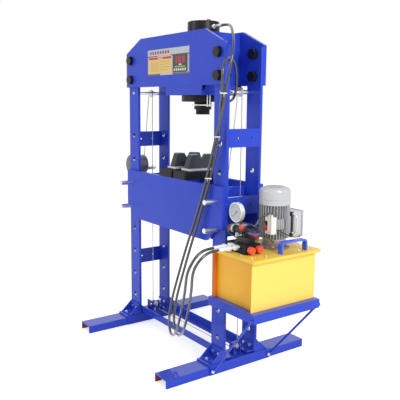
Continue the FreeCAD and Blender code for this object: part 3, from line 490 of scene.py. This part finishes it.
labelFields = [                           # left, right, top, bottom and colour
    (0.00, 1.00, 0.00, 0.24, (0.50, 0.52, 0.55)), (0.00, 1.00, 0.24, 0.29, (0.12, 0.09, 0.09)),
    # the paler middle of the dark band under the top band is a painted highlight
    (0.25, 0.58, 0.24, 0.29, (0.48, 0.42, 0.40)),
    (0.02, 0.60, 0.28, 0.93, (0.70, 0.55, 0.42)), (0.03, 0.59, 0.30, 0.385, (0.55, 0.02, 0.03)),
    (0.26, 0.38, 0.325, 0.36, (0.80, 0.62, 0.58)), (0.04, 0.59, 0.40, 0.91, (0.74, 0.52, 0.14)),
    (0.06, 0.27, 0.46, 0.86, (0.66, 0.45, 0.13)),
    (0.30, 0.55, 0.47, 0.495, (0.50, 0.33, 0.09)), (0.30, 0.52, 0.57, 0.595, (0.50, 0.33, 0.09)),
    (0.30, 0.55, 0.67, 0.695, (0.50, 0.33, 0.09)), (0.30, 0.50, 0.77, 0.795, (0.50, 0.33, 0.09)),
    (0.625, 0.965, 0.27, 0.93, (0.030, 0.045, 0.042)),
    (0.690, 0.730, 0.32, 0.58, (0.42, 0.02, 0.06)), (0.755, 0.815, 0.32, 0.58, (0.42, 0.02, 0.06)),
    (0.840, 0.900, 0.32, 0.58, (0.42, 0.02, 0.06)),
    (0.765, 0.825, 0.615, 0.665, (0.70, 0.72, 0.70)), (0.665, 0.910, 0.70, 0.735, (0.50, 0.52, 0.06)),
    # the paler middle of the bottom band is a painted highlight
    (0.00, 1.00, 0.94, 1.00, (0.15, 0.10, 0.085)), (0.32, 0.62, 0.94, 1.00, (0.55, 0.50, 0.50)),
]
labelRows = [                             # plain blocks in a row: left, right, top, bottom, blocks, colour
    (0.055, 0.560, 0.07, 0.185, 8, (0.34, 0.03, 0.04)), (0.650, 0.945, 0.78, 0.87, 6, (0.62, 0.70, 0.74)),
]
labelPrint = {"skin": 0.0006, "blockShare": 0.66}
labelLow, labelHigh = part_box("label_plate")
labelFinish = enamelFinish("labelPrint", enamels["label"], 0.3, 0.2)
labelAcross = (labelFinish.x - labelLow.x) / (labelHigh.x - labelLow.x)
labelDown = (labelHigh.z - labelFinish.z) / (labelHigh.z - labelLow.z)
labelFront = labelFinish.y < labelLow.y + labelPrint["skin"]
labelTone = labelFinish.tone


def onLabel(left, right, top, bottom):
    return labelAcross.within(left, right) * labelDown.within(top, bottom) * labelFront


for left, right, top, bottom, colour in labelFields:
    labelTone = labelFinish.mixed(onLabel(left, right, top, bottom), labelTone, colour)
for left, right, top, bottom, count, colour in labelRows:
    inBlock = ((labelAcross - left) * (count / (right - left))).fraction() < labelPrint["blockShare"]
    labelTone = labelFinish.mixed(onLabel(left, right, top, bottom) * inBlock, labelTone, colour)
labelFinish.feed("Base Color", labelTone)
dress(labelFinish, "label_plate")

# motor: painted shade between the fins and in stripes standing for fins behind the switch, mottled brown on
# the flange; pale cowl with painted shade under its grille

motor = {
    "finRoot": 0.0765, "finsFrom": 0.8125, "finsTo": 0.9935, "between": (0.15, 0.155, 0.16),
    "bracketLeft": 0.6847, "bracketBack": 0.0618, "bracketLow": 0.8665, "bracketHigh": 0.9255,
    "stripes": 75.0,                      # to the metre
    "brownTop": 0.7995, "brownDark": (0.16, 0.11, 0.08), "brownPale": (0.42, 0.36, 0.32),
}
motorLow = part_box("motor_body")[0]
cowlLow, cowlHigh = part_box("fan_cowl")
cowlMid = (cowlLow + cowlHigh) / 2
silverFinish = enamelFinish("silverPaint", enamels["silver"], 0.36, 0.1)
motorFinish = enamelFinish("motorSilver", enamels["silver"], 0.36, 0.1)
# the body between the fins is darker: painted shade
onRoot = motorFinish.away(cowlMid) < motor["finRoot"]
onRoot = onRoot * motorFinish.z.within(motor["finsFrom"], motor["finsTo"])
motorTone = motorFinish.mixed(onRoot, motorFinish.tone, motor["between"])
# over the bracket: stripes of painted shade standing for fin gaps
onBracket = (motorFinish.x > motor["bracketLeft"]) * (motorFinish.y < motor["bracketBack"])
onBracket = onBracket * motorFinish.z.within(motor["bracketLow"], motor["bracketHigh"])
striped = (motorFinish.y * motor["stripes"]).fraction() > 0.5
finShade = motorFinish.mixed(striped, motorFinish.tone, motor["between"])
motorTone = motorFinish.mixed(onBracket, motorTone, finShade)
# mottled brown below the flange top
brownMottle = motorFinish.mixed(motorFinish.noise(60.0, 4.0), motor["brownDark"], motor["brownPale"])
motorFinish.feed("Base Color", motorFinish.mixed(motorFinish.z < motor["brownTop"], motorTone, brownMottle))
dress(motorFinish, "motor_body")

cowlMouthShade = {"radius": 0.054, "skin": 0.0005, "colour": (0.03, 0.03, 0.03)}
cowlFinish = enamelFinish("cowlPale", enamels["cowl"], 0.3, 0.2)
# the cowl top inside the grille ring is dark: painted shade for the fan's inside
inMouth = (cowlFinish.away(cowlMid) < cowlMouthShade["radius"]) * (cowlFinish.z > cowlHigh.z - cowlMouthShade["skin"])
cowlFinish.feed("Base Color", cowlFinish.mixed(inMouth, cowlFinish.tone, cowlMouthShade["colour"]))
dress(cowlFinish, "fan_cowl")

# lever: red ball on a dark rod

lever = {"ball": 0.0285, "rod": (0.02, 0.02, 0.022)}
leverFinish = enamelFinish("leverRed", enamels["ball"], 0.25, 0.4, 0.0006)
onBall = leverFinish.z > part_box("valve_lever")[1].z - lever["ball"]
leverFinish.feed("Base Color", leverFinish.mixed(onBall, lever["rod"], leverFinish.tone))
dress(leverFinish, "valve_lever")
redFinish = enamelFinish("redPlastic", enamels["knob"], 0.3, 0.3, 0.0006)
print("stage: paints on the CAD nodes")

# hoses, with their routes in millimetres from the press's middle

hose = {
    "diameter": 0.015,
    "pressure": [(700, -332, 794), (700, -383, 794), (701, -432, 773), (692, -464, 729),
                 (664, -472, 668), (622, -450, 598), (574, -425, 520), (511, -402, 410),
                 (448, -378, 311), (391, -356, 243), (329, -332, 196), (265, -306, 172),
                 (210, -282, 182), (172, -262, 226), (158, -246, 289), (166, -230, 380),
                 (200, -213, 512), (258, -198, 688), (322, -186, 848), (382, -177, 1005),
                 (440, -172, 1171), (487, -173, 1312), (547, -180, 1444), (589, -181, 1583),
                 (618, -182, 1692), (628, -170, 1775), (599, -138, 1847), (533, -94, 1904),
                 (452, -40, 1950), (372, 0, 1971), (318, 0, 1971)],
    "return": [(742, -332, 791), (742, -383, 791), (743, -432, 770), (733, -467, 728), (712, -472, 674),
               (666, -442, 594), (616, -416, 514), (557, -388, 420), (494, -360, 329), (435, -336, 258),
               (372, -311, 207), (306, -286, 177), (247, -264, 179), (202, -246, 216), (183, -232, 281),
               (192, -218, 379), (228, -207, 500), (284, -196, 664), (348, -186, 834), (408, -176, 1000),
               (453, -160, 1155), (486, -152, 1290), (508, -155, 1386), (532, -170, 1470),
               (563, -190, 1545), (590, -205, 1606), (604, -212, 1653), (605, -214, 1702),
               (594, -193, 1744), (576, -156, 1768), (555, -113, 1768), (534, -76, 1744),
               (523, -56, 1702), (521, -53, 1655), (520, -51, 1612), (497, -45, 1571), (457, -32, 1546),
               (405, -12, 1545), (354, 0, 1552), (300, 0, 1552)],
    "length": {"pressure": 3.079, "return": 3.159},
}

hoseFinish = Finish("hoseRubber", 0.34, 0.0, 0.8)
hoseFinish.feed("Coat Roughness", 0.2)
hoseFinish.feed("Coat IOR", 1.6)
hoseCloud = hoseFinish.noise(70.0, 3.0)
hoseFinish.feed("Base Color", hoseFinish.mixed(hoseCloud, (0.008, 0.008, 0.01), (0.022, 0.022, 0.024)))
hoseFinish.feed("Roughness", hoseCloud * 0.16 + 0.22)
hoseFinish.bump(hoseFinish.noise(500.0), 0.00006, 0.4)


def spot(place):                          # a route's point, in metres in the frame
    return Vector(((place[0] - press["shift"]) / 1000, place[1] / 1000, place[2] / 1000))


def softCurve(name, places, radius):
    data = bpy.data.curves.new(name, "CURVE")
    data.dimensions = "3D"
    data.resolution_u = 8
    data.use_fill_caps = True
    spline = data.splines.new("NURBS")
    spline.points.add(len(places) - 1)
    for point, place in zip(spline.points, places):
        point.co = (*spot(place), 1)
    spline.order_u = 3
    spline.use_endpoint_u = True
    piece = bpy.data.objects.new(name, data)
    bpy.context.scene.collection.objects.link(piece)
    bpy.context.view_layer.update()
    ghost = bpy.data.meshes.new_from_object(piece)
    line = [v.co.copy() for v in ghost.vertices]
    bpy.data.meshes.remove(ghost)
    data.bevel_depth = radius
    data.bevel_resolution = 5
    return piece, line


hoseLines = {}
for name in ("pressure", "return"):
    hosePiece, hoseLines[name] = softCurve(name + "Hose", hose[name], hose["diameter"] / 2)
    hosePiece.data.materials.append(hoseFinish.material)
    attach(hosePiece, "frame")
    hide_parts(name + "_hose")
    tuple(spot(hose[name][0]))
print("stage: hoses laid")

# modelling steps shared by the pieces: start a primitive at its place, shape it in edit mode, settle it

turns = {"x": (0, math.pi / 2, 0), "y": (math.pi / 2, 0, 0), "z": (0, 0, 0)}
square = 0.9                              # a face whose normal has this share of an axis faces along it
near = 0.001                              # metres within which a face counts as at a place


def alone(piece):
    bpy.ops.object.select_all(action="DESELECT")
    piece.select_set(True)
    bpy.context.view_layer.objects.active = piece


def named(name):
    piece = bpy.context.active_object
    piece.name = name
    piece.data.name = name
    bpy.ops.object.transform_apply(location=True, rotation=True, scale=True)
    return piece


def startBox(name, low, high):
    bpy.ops.object.select_all(action="DESELECT")
    size = [b - a for a, b in zip(low, high)]
    middle = [(a + b) / 2 for a, b in zip(low, high)]
    bpy.ops.mesh.primitive_cube_add(size=1, location=middle, scale=size)
    return named(name)


def startRound(name, place, radius, length, axis, sides=32, ends="NGON"):
    bpy.ops.object.select_all(action="DESELECT")
    bpy.ops.mesh.primitive_cylinder_add(vertices=sides, radius=radius, depth=length, location=place,
                                        rotation=turns[axis], end_fill_type=ends)
    return named(name)


def pick(piece, wanted):                  # opens edit mode with the wanted faces selected
    if bpy.context.mode != "EDIT_MESH":
        alone(piece)
        bpy.ops.object.mode_set(mode="EDIT")
    bpy.ops.mesh.select_mode(type="FACE")
    bpy.ops.mesh.select_all(action="DESELECT")
    grid = bmesh.from_edit_mesh(piece.data)
    for face in grid.faces:
        face.select_set(bool(wanted(face.calc_center_median(), face.normal)))
    grid.select_flush_mode()
    bmesh.update_edit_mesh(piece.data)


def pull(by):
    bpy.ops.mesh.extrude_region_move(TRANSFORM_OT_translate={"value": tuple(by)})


def closeEdit():
    bpy.ops.object.mode_set(mode="OBJECT")


def roundOff(piece, by, steps=2, angle=30):
    alone(piece)
    bevel = piece.modifiers.new("roundOff", "BEVEL")
    bevel.width = by
    bevel.segments = steps
    bevel.limit_method = "ANGLE"
    bevel.angle_limit = math.radians(angle)
    bpy.ops.object.modifier_apply(modifier=bevel.name)
    return piece


def thicken(piece, by):
    alone(piece)
    wall = piece.modifiers.new("thicken", "SOLIDIFY")
    wall.thickness = by
    wall.offset = 0
    bpy.ops.object.modifier_apply(modifier=wall.name)
    return piece


def copied(piece, name, offset):
    alone(piece)
    bpy.ops.object.duplicate()
    bpy.ops.transform.translate(value=offset)
    return named(name)


def merged(name, parts):
    alone(parts[0])
    for part in parts:
        part.select_set(True)
    bpy.ops.object.join()
    return named(name)


def settle(piece, finish, body="frame"):
    alone(piece)
    piece.data.materials.clear()
    piece.data.materials.append(finish.material)
    bpy.ops.object.shade_smooth_by_angle(angle=math.radians(35))
    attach(piece, body)


# gauge dial, its numbers and glass

gauge = {
    "case": 0.054, "dial": 0.0485, "dialT": 0.0008, "dialIn": 0.0086,
    "rim": 0.0035, "rimRise": 0.0003,
    "glassIn": 0.0017, "glassT": 0.0012, "glassRound": 0.0004, "glassClear": 0.14,
    "numbers": 7, "step": 10, "numberR": 0.0295, "numberSize": 0.0088,
    "numberT": 0.00008, "numberLift": 0.0002,
    "sweep": 270.0, "ends": (-0.004, 1.004),
    "longTick": (0.0365, 0.0432, 0.0045), "shortTick": (0.0398, 0.0432, 0.0017),
    "arc": (0.0432, 0.0439),
    "paper": (0.52, 0.56, 0.61), "ink": (0.015, 0.017, 0.02),
}
gaugeLow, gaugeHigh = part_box("gauge_case")
gaugeMid = Vector(((gaugeLow.x + gaugeHigh.x) / 2, gaugeLow.y, gaugeHigh.z - gauge["case"]))


def gaugePlace(inwards):                  # the middle of the gauge, this far behind its front
    return gaugeMid + Vector((0, inwards, 0))


def dialTicks(finish):
    across = finish.x - gaugeMid.x
    up = finish.z - gaugeMid.z
    out = (across * across + up * up) ** 0.5
    turn = finish.node("ShaderNodeMath", {"operation": "ARCTAN2"}, {0: across, 1: up})
    share = turn / math.radians(gauge["sweep"]) + 0.5
    onScale = share.within(*gauge["ends"])
    marks = out.within(*gauge["arc"]) * onScale
    gaps = gauge["numbers"] - 1
    for count, (inner, outer, width) in ((gaps, gauge["longTick"]), (gaps * 10, gauge["shortTick"])):
        onTick = abs((share * count + 0.5).fraction() - 0.5) < width * count
        marks = marks.top(onTick * out.within(inner, outer) * onScale)
    return marks


dialFinish = Finish("gaugeDialPrint", 0.55)
palePaper = tuple(c * 1.06 for c in gauge["paper"])
paper = dialFinish.mixed(dialFinish.noise(40.0, 3.0), gauge["paper"], palePaper)
dialFinish.feed("Base Color", dialFinish.mixed(dialTicks(dialFinish), paper, gauge["ink"]))

dial = startRound("gaugeDial", gaugePlace(gauge["dialIn"]), gauge["dial"], gauge["dialT"], "y", 64)
pick(dial, lambda at, way: way.y < -square)
bpy.ops.mesh.inset(thickness=gauge["rim"], depth=-gauge["rimRise"])
closeEdit()
settle(dial, dialFinish)


def makeFigure(number):
    turn = math.radians(gauge["sweep"]) * (number / (gauge["numbers"] - 1) - 0.5)
    reach = Vector((math.sin(turn), 0, math.cos(turn))) * gauge["numberR"]
    bpy.ops.object.select_all(action="DESELECT")
    bpy.ops.object.text_add(rotation=(math.pi / 2, 0, 0))
    figure = bpy.context.active_object
    figure.data.body = str(number * gauge["step"])
    figure.data.size = gauge["numberSize"]
    figure.data.align_x = "CENTER"
    figure.data.align_y = "CENTER"
    figure.data.extrude = gauge["numberT"]
    figure.data.resolution_u = 2
    figure.location = gaugePlace(gauge["dialIn"] - gauge["dialT"] / 2 + gauge["numberLift"]) + reach
    bpy.ops.object.convert(target="MESH")
    return bpy.context.active_object


inkFinish = enamelFinish("dialInk", gauge["ink"], 0.5, 0.0, 0.0)
figures = [makeFigure(number) for number in range(gauge["numbers"])]
settle(merged("gaugeNumbers", figures), inkFinish)

glassFinish = Finish("gaugeGlass", 0.04, 0.0, 0.6)
glassFinish.feed("Base Color", glassFinish.mixed(glassFinish.noise(30.0), (0.9, 0.95, 1.0), (1.0, 1.0, 1.0)))
glassFinish.feed("Alpha", gauge["glassClear"])
glass = startRound("gaugeGlass", gaugePlace(gauge["glassIn"]), gauge["dial"], gauge["glassT"], "y", 64)
settle(roundOff(glass, gauge["glassRound"]), glassFinish)
print("stage: gauge")

# adjusting knobs with eight flutes, a neck and a bright collar

knob = {
    "long": 0.0265, "radius": 0.0188, "flutes": 8, "fluteDeep": 0.0016, "fluteShare": 0.34, "round": 0.0013,
    "faceRim": 0.0045, "groove": 0.001, "grooveDeep": 0.0012,
    "skirtRim": 0.006, "skirt": 0.004, "neckRim": 0.007, "neckGap": 0.001,
    "collar": 0.0145, "collarT": 0.004, "collarOn": 0.0005, "collarRim": 0.0015, "collarRise": 0.0006,
    "collarRound": 0.0004,
}


def makeKnob(node, name, body):
    low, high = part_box(node)
    middle = (low + high) / 2
    start = high.x - knob["long"]
    skirt = start - knob["skirt"]
    step = 2 * math.pi / knob["flutes"]
    gripMid = ((start + high.x) / 2, middle.y, middle.z)
    grip = startRound(name, gripMid, knob["radius"], high.x - start, "x", 48)

    def inFlute(at, way):
        turn = math.atan2(at.z - middle.z, at.y - middle.y) % step
        return abs(way.x) < 0.5 and turn < step * knob["fluteShare"]

    pick(grip, inFlute)
    bpy.ops.mesh.extrude_region_shrink_fatten(TRANSFORM_OT_shrink_fatten={"value": -knob["fluteDeep"]})
    pick(grip, lambda at, way: way.x > square and at.x > high.x - near)
    bpy.ops.mesh.inset(thickness=knob["faceRim"], depth=0.0)
    bpy.ops.mesh.inset(thickness=knob["groove"], depth=-knob["grooveDeep"])
    pick(grip, lambda at, way: way.x < -square and at.x < start + near)
    bpy.ops.mesh.inset(thickness=knob["skirtRim"], depth=0.0)
    pull((-knob["skirt"], 0, 0))
    bpy.ops.mesh.inset(thickness=knob["neckRim"], depth=0.0)
    pull((low.x + knob["neckGap"] - skirt, 0, 0))
    closeEdit()
    roundOff(grip, knob["round"], 2, 40)
    settle(grip, redFinish, body)
    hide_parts(node)
    collar = startRound(name + "Collar", (skirt + knob["collarOn"], middle.y, middle.z), knob["collar"],
                        knob["collarT"], "x")
    pick(collar, lambda at, way: abs(way.x) > square)
    bpy.ops.mesh.inset(thickness=knob["collarRim"], depth=knob["collarRise"])
    closeEdit()
    settle(roundOff(collar, knob["collarRound"]), steelFinish, body)


makeKnob("front_knob", "frontKnobGrip", "knob_front")
makeKnob("rear_knob", "rearKnobGrip", "knob_rear")
print("stage: knobs")

# socket screws of the lid and hexagon bolts of the motor flange

screw = {
    "head": 0.0056, "headH": 0.0036, "socket": 0.0026, "socketDeep": 0.6, "washer": 0.0085, "washerT": 0.0012,
    "headRound": 0.0006, "washerRound": 0.0003, "socketLip": 0.0001,
}


def makeScrew(name, place, size=1.0, sides=24):
    up = Vector((0, 0, 1))
    washerT = screw["washerT"] * size
    headH = screw["headH"] * size
    washer = startRound(name + "Washer", place + up * washerT / 2, screw["washer"] * size, washerT, "z", 24)
    roundOff(washer, screw["washerRound"] * size, 1)
    head = startRound(name, place + up * (washerT + headH / 2), screw["head"] * size, headH, "z", sides)
    pick(head, lambda at, way: way.z > square)
    bpy.ops.mesh.inset(thickness=screw["socket"] * size, depth=0.0)
    bpy.ops.mesh.inset(thickness=screw["socketLip"] * size, depth=-headH * screw["socketDeep"])
    closeEdit()
    roundOff(head, screw["headRound"] * size, 2, 50)
    return merged(name, [head, washer])


def repeat(name, first, places):          # copies the first one to the other places, then settles them all
    for number, place in enumerate(places[1:], 2):
        settle(copied(first, name + str(number), place - places[0]), steelFinish)
    settle(first, steelFinish)


lidScrews = {
    "front": (0.091, 0.220, 0.308), "side": (0.109, 0.341),  # from the tank's left front corner
    "inset": 0.016, "handle": 0.066,      # the handle's rise over the lid
}
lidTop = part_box("tank_lid")[1].z - lidScrews["handle"]
lidInset = lidScrews["inset"]
lidEdges = [(tankLow.x + along, tankLow.y + lidInset) for along in lidScrews["front"]]
lidEdges += [(tankHigh.x - lidInset, tankLow.y + along) for along in lidScrews["side"]]
lidEdges += [(tankLow.x + along, tankHigh.y - lidInset) for along in lidScrews["front"]]
lidEdges += [(tankLow.x + lidInset, tankLow.y + along) for along in lidScrews["side"]]
lidSpots = [Vector((x, y, lidTop)) for x, y in lidEdges]
repeat("lidScrew", makeScrew("lidScrew1", lidSpots[0]), lidSpots)

flange = {"bolts": 4, "firstTurn": 45, "ring": 0.0735, "thick": 0.012, "size": 1.15}
flangeSpots = []
for number in range(flange["bolts"]):
    turn = math.radians(flange["firstTurn"] + 360 * number / flange["bolts"])
    reach = Vector((math.cos(turn), math.sin(turn), 0)) * flange["ring"]
    flangeSpots.append(Vector((cowlMid.x, cowlMid.y, motorLow.z + flange["thick"])) + reach)
repeat("flangeBolt", makeScrew("flangeBolt1", flangeSpots[0], flange["size"], 6), flangeSpots)

# fan grille on the cowl: a plate with radial slots over the painted shade on the cowl top

grille = {"radius": 0.0545, "rim": 0.006, "hub": 0.012, "thick": 0.0014, "slots": 24}
bpy.ops.object.select_all(action="DESELECT")
bpy.ops.mesh.primitive_circle_add(vertices=2 * grille["slots"], radius=grille["radius"], fill_type="NGON",
                                  location=(cowlMid.x, cowlMid.y, cowlHigh.z + grille["thick"] / 2))
grillePlate = named("cowlGrille")
pick(grillePlate, lambda at, way: True)
bpy.ops.mesh.inset(thickness=grille["rim"], depth=0.0)
bpy.ops.mesh.inset(thickness=grille["radius"] - grille["rim"] - grille["hub"], depth=0.0)
slotTurn = 2 * math.pi / grille["slots"]


def inSlot(at, way):
    reach = Vector((at.x - cowlMid.x, at.y - cowlMid.y))
    inRing = grille["hub"] < reach.length < grille["radius"] - grille["rim"]
    return inRing and math.atan2(reach.y, reach.x) % slotTurn > slotTurn / 2


pick(grillePlate, inSlot)
bpy.ops.mesh.delete(type="FACE")
closeEdit()
thicken(grillePlate, grille["thick"])
settle(grillePlate, silverFinish)
print("stage: screws and grille")

# terminal box: cover, gasket and cover screws

terminal = {
    "coverT": 0.009, "coverOver": 0.002, "proud": 0.0018, "panelRim": 0.006, "panelRise": 0.0018,
    "coverRound": 0.0022, "gasketT": 0.0024, "gasketProud": 0.0006, "gasketRim": 0.002,
    "screwInset": 0.010, "screwR": 0.0042, "screwH": 0.0024, "slotRim": 0.0019, "slotDeep": 0.0014,
    "slotLip": 0.0001, "screwRound": 0.0005, "gasketRound": 0.0004,
}
boxLow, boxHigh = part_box("terminal_box")
coverStart = boxHigh.y - terminal["coverT"]


def boxPlate(name, start, end, proud):    # a plate as large as the box and proud of it all round
    low = (boxLow.x - proud, start, boxLow.z - proud)
    return startBox(name, low, (boxHigh.x + proud, end, boxHigh.z + proud))


cover = boxPlate("terminalCover", coverStart, boxHigh.y + terminal["coverOver"], terminal["proud"])
pick(cover, lambda at, way: way.y > square)
bpy.ops.mesh.inset(thickness=terminal["panelRim"], depth=0.0)
pull((0, terminal["panelRise"], 0))
closeEdit()
settle(roundOff(cover, terminal["coverRound"], 3), silverFinish)
gasketFinish = enamelFinish("gasketBrown", enamels["gasket"], 0.5, 0.0)
gasket = boxPlate("terminalGasket", coverStart - terminal["gasketT"], coverStart, terminal["gasketProud"])
pick(gasket, lambda at, way: abs(way.y) > square)
bpy.ops.mesh.inset(thickness=terminal["gasketRim"], depth=0.0)
closeEdit()
settle(roundOff(gasket, terminal["gasketRound"], 1), gasketFinish)
coverFace = boxHigh.y + terminal["coverOver"] + terminal["panelRise"]
coverSpots = [Vector((x, coverFace + terminal["screwH"] / 2, z))
              for x in (boxLow.x + terminal["screwInset"], boxHigh.x - terminal["screwInset"])
              for z in (boxLow.z + terminal["screwInset"], boxHigh.z - terminal["screwInset"])]


def makeCoverScrew(name, place):
    head = startRound(name, place, terminal["screwR"], terminal["screwH"], "y", 20)
    pick(head, lambda at, way: way.y > square)
    bpy.ops.mesh.inset(thickness=terminal["slotRim"], depth=0.0)
    bpy.ops.mesh.inset(thickness=terminal["slotLip"], depth=-terminal["slotDeep"])
    closeEdit()
    return roundOff(head, terminal["screwRound"], 2, 50)


repeat("coverScrew", makeCoverScrew("coverScrew1", coverSpots[0]), coverSpots)

# switch box: bezel round the rocker

bezel = {"rim": 0.0024, "gapX": 0.0006, "gapZ": 0.003, "proud": 0.0009, "thick": 0.0022, "round": 0.0006}
rockerLow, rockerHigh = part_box("switch_rocker")
bezelMid = Vector(((rockerLow.x + rockerHigh.x) / 2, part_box("switch_box")[0].y - bezel["proud"],
                   (rockerLow.z + rockerHigh.z) / 2))
bpy.ops.object.select_all(action="DESELECT")
bpy.ops.mesh.primitive_plane_add(size=1, location=bezelMid, rotation=turns["y"])
bezelPiece = bpy.context.active_object
bezelPiece.scale = (rockerHigh.x - rockerLow.x + 2 * (bezel["rim"] + bezel["gapX"]),
                    rockerHigh.z - rockerLow.z + 2 * (bezel["rim"] + bezel["gapZ"]), 1)
bezelPiece = named("rockerBezel")
pick(bezelPiece, lambda at, way: True)
bpy.ops.mesh.inset(thickness=bezel["rim"], depth=0.0)
pick(bezelPiece, lambda at, way: (at - bezelMid).length < near)
bpy.ops.mesh.delete(type="FACE")
closeEdit()
thicken(bezelPiece, bezel["thick"])
settle(roundOff(bezelPiece, bezel["round"]), creamFinish)
print("stage: terminal box and switch")

# thin cables between the switch, the coils, the motor and the terminal box, with their glands

cables = {
    "coilLoop": {"radius": 0.0030, "finish": "black", "points": [
        (704, -165, 829), (688, -177, 832), (661, -189, 845), (644, -198, 864), (656, -203, 888),
        (699, -206, 908), (745, -207, 921), (792, -204, 928), (826, -192, 926), (843, -170, 914),
        (850, -138, 884), (847, -98, 850), (832, -54, 826), (808, -14, 808), (790, 8, 798),
        (773, 18, 794)]},
    "coilLead": {"radius": 0.0030, "finish": "black", "points": [
        (806, -26, 950), (807, -28, 958), (811, -42, 965), (812, -62, 965), (807, -80, 957),
        (800, -98, 944), (796, -114, 930), (797, -128, 914), (800, -139, 900)]},
    "motorLead": {"radius": 0.0030, "finish": "black", "points": [
        (788, -26, 950), (788, -30, 956), (786, -48, 957), (785, -68, 949), (784, -90, 934),
        (785, -108, 916), (786, -124, 900), (788, -136, 888)]},
    "switchLead": {"radius": 0.0029, "finish": "black", "points": [
        (815, -8, 874), (817, 10, 870), (826, 30, 858), (832, 56, 842), (833, 88, 829), (825, 120, 820),
        (812, 150, 813), (806, 178, 811), (800, 198, 811), (781, 206, 812)]},
    "paleLoop": {"radius": 0.0042, "finish": "pale", "points": [
        (780, 156, 936), (806, 157, 936), (806, 160, 883), (806, 157, 830), (780, 154, 830)]},
}

def sheathFinish(name, roughness, coat, deep, pale):
    finish = Finish(name, roughness, 0.0, coat)
    finish.feed("Base Color", finish.mixed(finish.noise(90.0, 3.0), deep, pale))
    finish.bump(finish.noise(900.0), 0.00006, 0.4)
    return finish


cableFinish = sheathFinish("cableBlack", 0.28, 0.5, (0.006, 0.006, 0.007), (0.018, 0.018, 0.02))
paleFinish = sheathFinish("cablePale", 0.38, 0.2, (0.72, 0.72, 0.71), (0.84, 0.84, 0.83))


def makeCable(name):
    cable = cables[name]
    piece, line = softCurve(name, cable["points"], cable["radius"])
    piece.data.materials.append((cableFinish if cable["finish"] == "black" else paleFinish).material)
    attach(piece, "frame")


gland = {"radius": 0.0068, "nutH": 0.008, "noseH": 0.010, "noseShare": 0.82, "taper": 0.62, "round": 0.0008}
glands = [                                # name, place in millimetres, axis and finish
    ("glandCoilLead", (806, -26, 938), "z", creamFinish),
    ("glandCoil", (800, -140, 886), "z", blackFinish),
    ("glandMotorLead", (788, -26, 938), "z", creamFinish),
    ("glandPaleUpper", (776, 156, 936), "x", paleFinish),
    ("glandPaleLower", (776, 154, 830), "x", paleFinish),
]


def makeGland(name, place, axis, finish):  # a hexagon nut with a tapered nose
    way = {"x": Vector((1, 0, 0)), "z": Vector((0, 0, 1))}[axis]
    nut = startRound(name, place + way * gland["nutH"] / 2, gland["radius"], gland["nutH"], axis, 6)
    roundOff(nut, gland["round"], 1)
    nose = startRound(name + "Nose", place + way * (gland["nutH"] + gland["noseH"] / 2),
                      gland["radius"] * gland["noseShare"], gland["noseH"], axis, 24)
    pick(nose, lambda at, facing: facing.dot(way) > square)
    bpy.ops.transform.resize(value=(gland["taper"], gland["taper"], gland["taper"]))
    closeEdit()
    settle(merged(name, [nut, nose]), finish)


for name in cables:
    makeCable(name)
for name, place, axis, finish in glands:
    makeGland(name, spot(place), axis, finish)
print("stage: cables")

# white ties round both hoses

tie = {
    "heights": (1.584, 1.352, 1.117), "wide": 0.005, "thick": 0.0013, "gap": 0.0009,
    "head": 0.0065, "sunk": 0.0012, "tail": 0.016, "tailRim": 0.0022, "tailOut": 0.003, "round": 0.0006,
    "front": Vector((0.81, -0.59, 0)),    # the heads stand on this side
}
tieFinish = Finish("tieWhite", 0.4, 0.0, 0.1)
tieFinish.feed("Base Color", tieFinish.mixed(tieFinish.noise(80.0), (0.8, 0.8, 0.79), (0.9, 0.9, 0.89)))
tieFinish.bump((tieFinish.z * 4000.0).sine(), 0.00008, 0.3)


def crossing(line, height):               # where the line rises through this height
    for a, b in zip(line, line[1:]):
        if a.z < height <= b.z:
            return a.lerp(b, (height - a.z) / (b.z - a.z))


def makeTie(number, height):
    first, last = (crossing(hoseLines[name], height) for name in ("pressure", "return"))
    across = last - first
    bandR = hose["diameter"] / 2 + tie["gap"] + tie["thick"] / 2
    band = startRound("tieBand" + number, first, bandR, tie["wide"], "z", 40, "NOTHING")
    pick(band, lambda at, way: (at - first).dot(across) > 0)
    bpy.ops.transform.translate(value=across)
    closeEdit()
    thicken(band, tie["thick"])
    outward = Vector((across.y, -across.x, 0)).normalized()
    if outward.dot(tie["front"]) < 0:
        outward = -outward
    half = Vector((1, 1, 1)) * tie["head"] / 2
    headMid = (first + last) / 2 + outward * (bandR + tie["head"] / 2 - tie["sunk"])
    head = startBox("tieHead" + number, headMid - half, headMid + half)
    pick(head, lambda at, way: way.z < -square)
    bpy.ops.mesh.inset(thickness=tie["tailRim"], depth=0.0)
    pull(outward * tie["tailOut"] - Vector((0, 0, tie["tail"])))
    closeEdit()
    roundOff(head, tie["round"])
    settle(merged("tie" + number, [band, head]), tieFinish)


for number, height in enumerate(tie["heights"], 1):
    makeTie(str(number), height)
print("stage: hose ties")
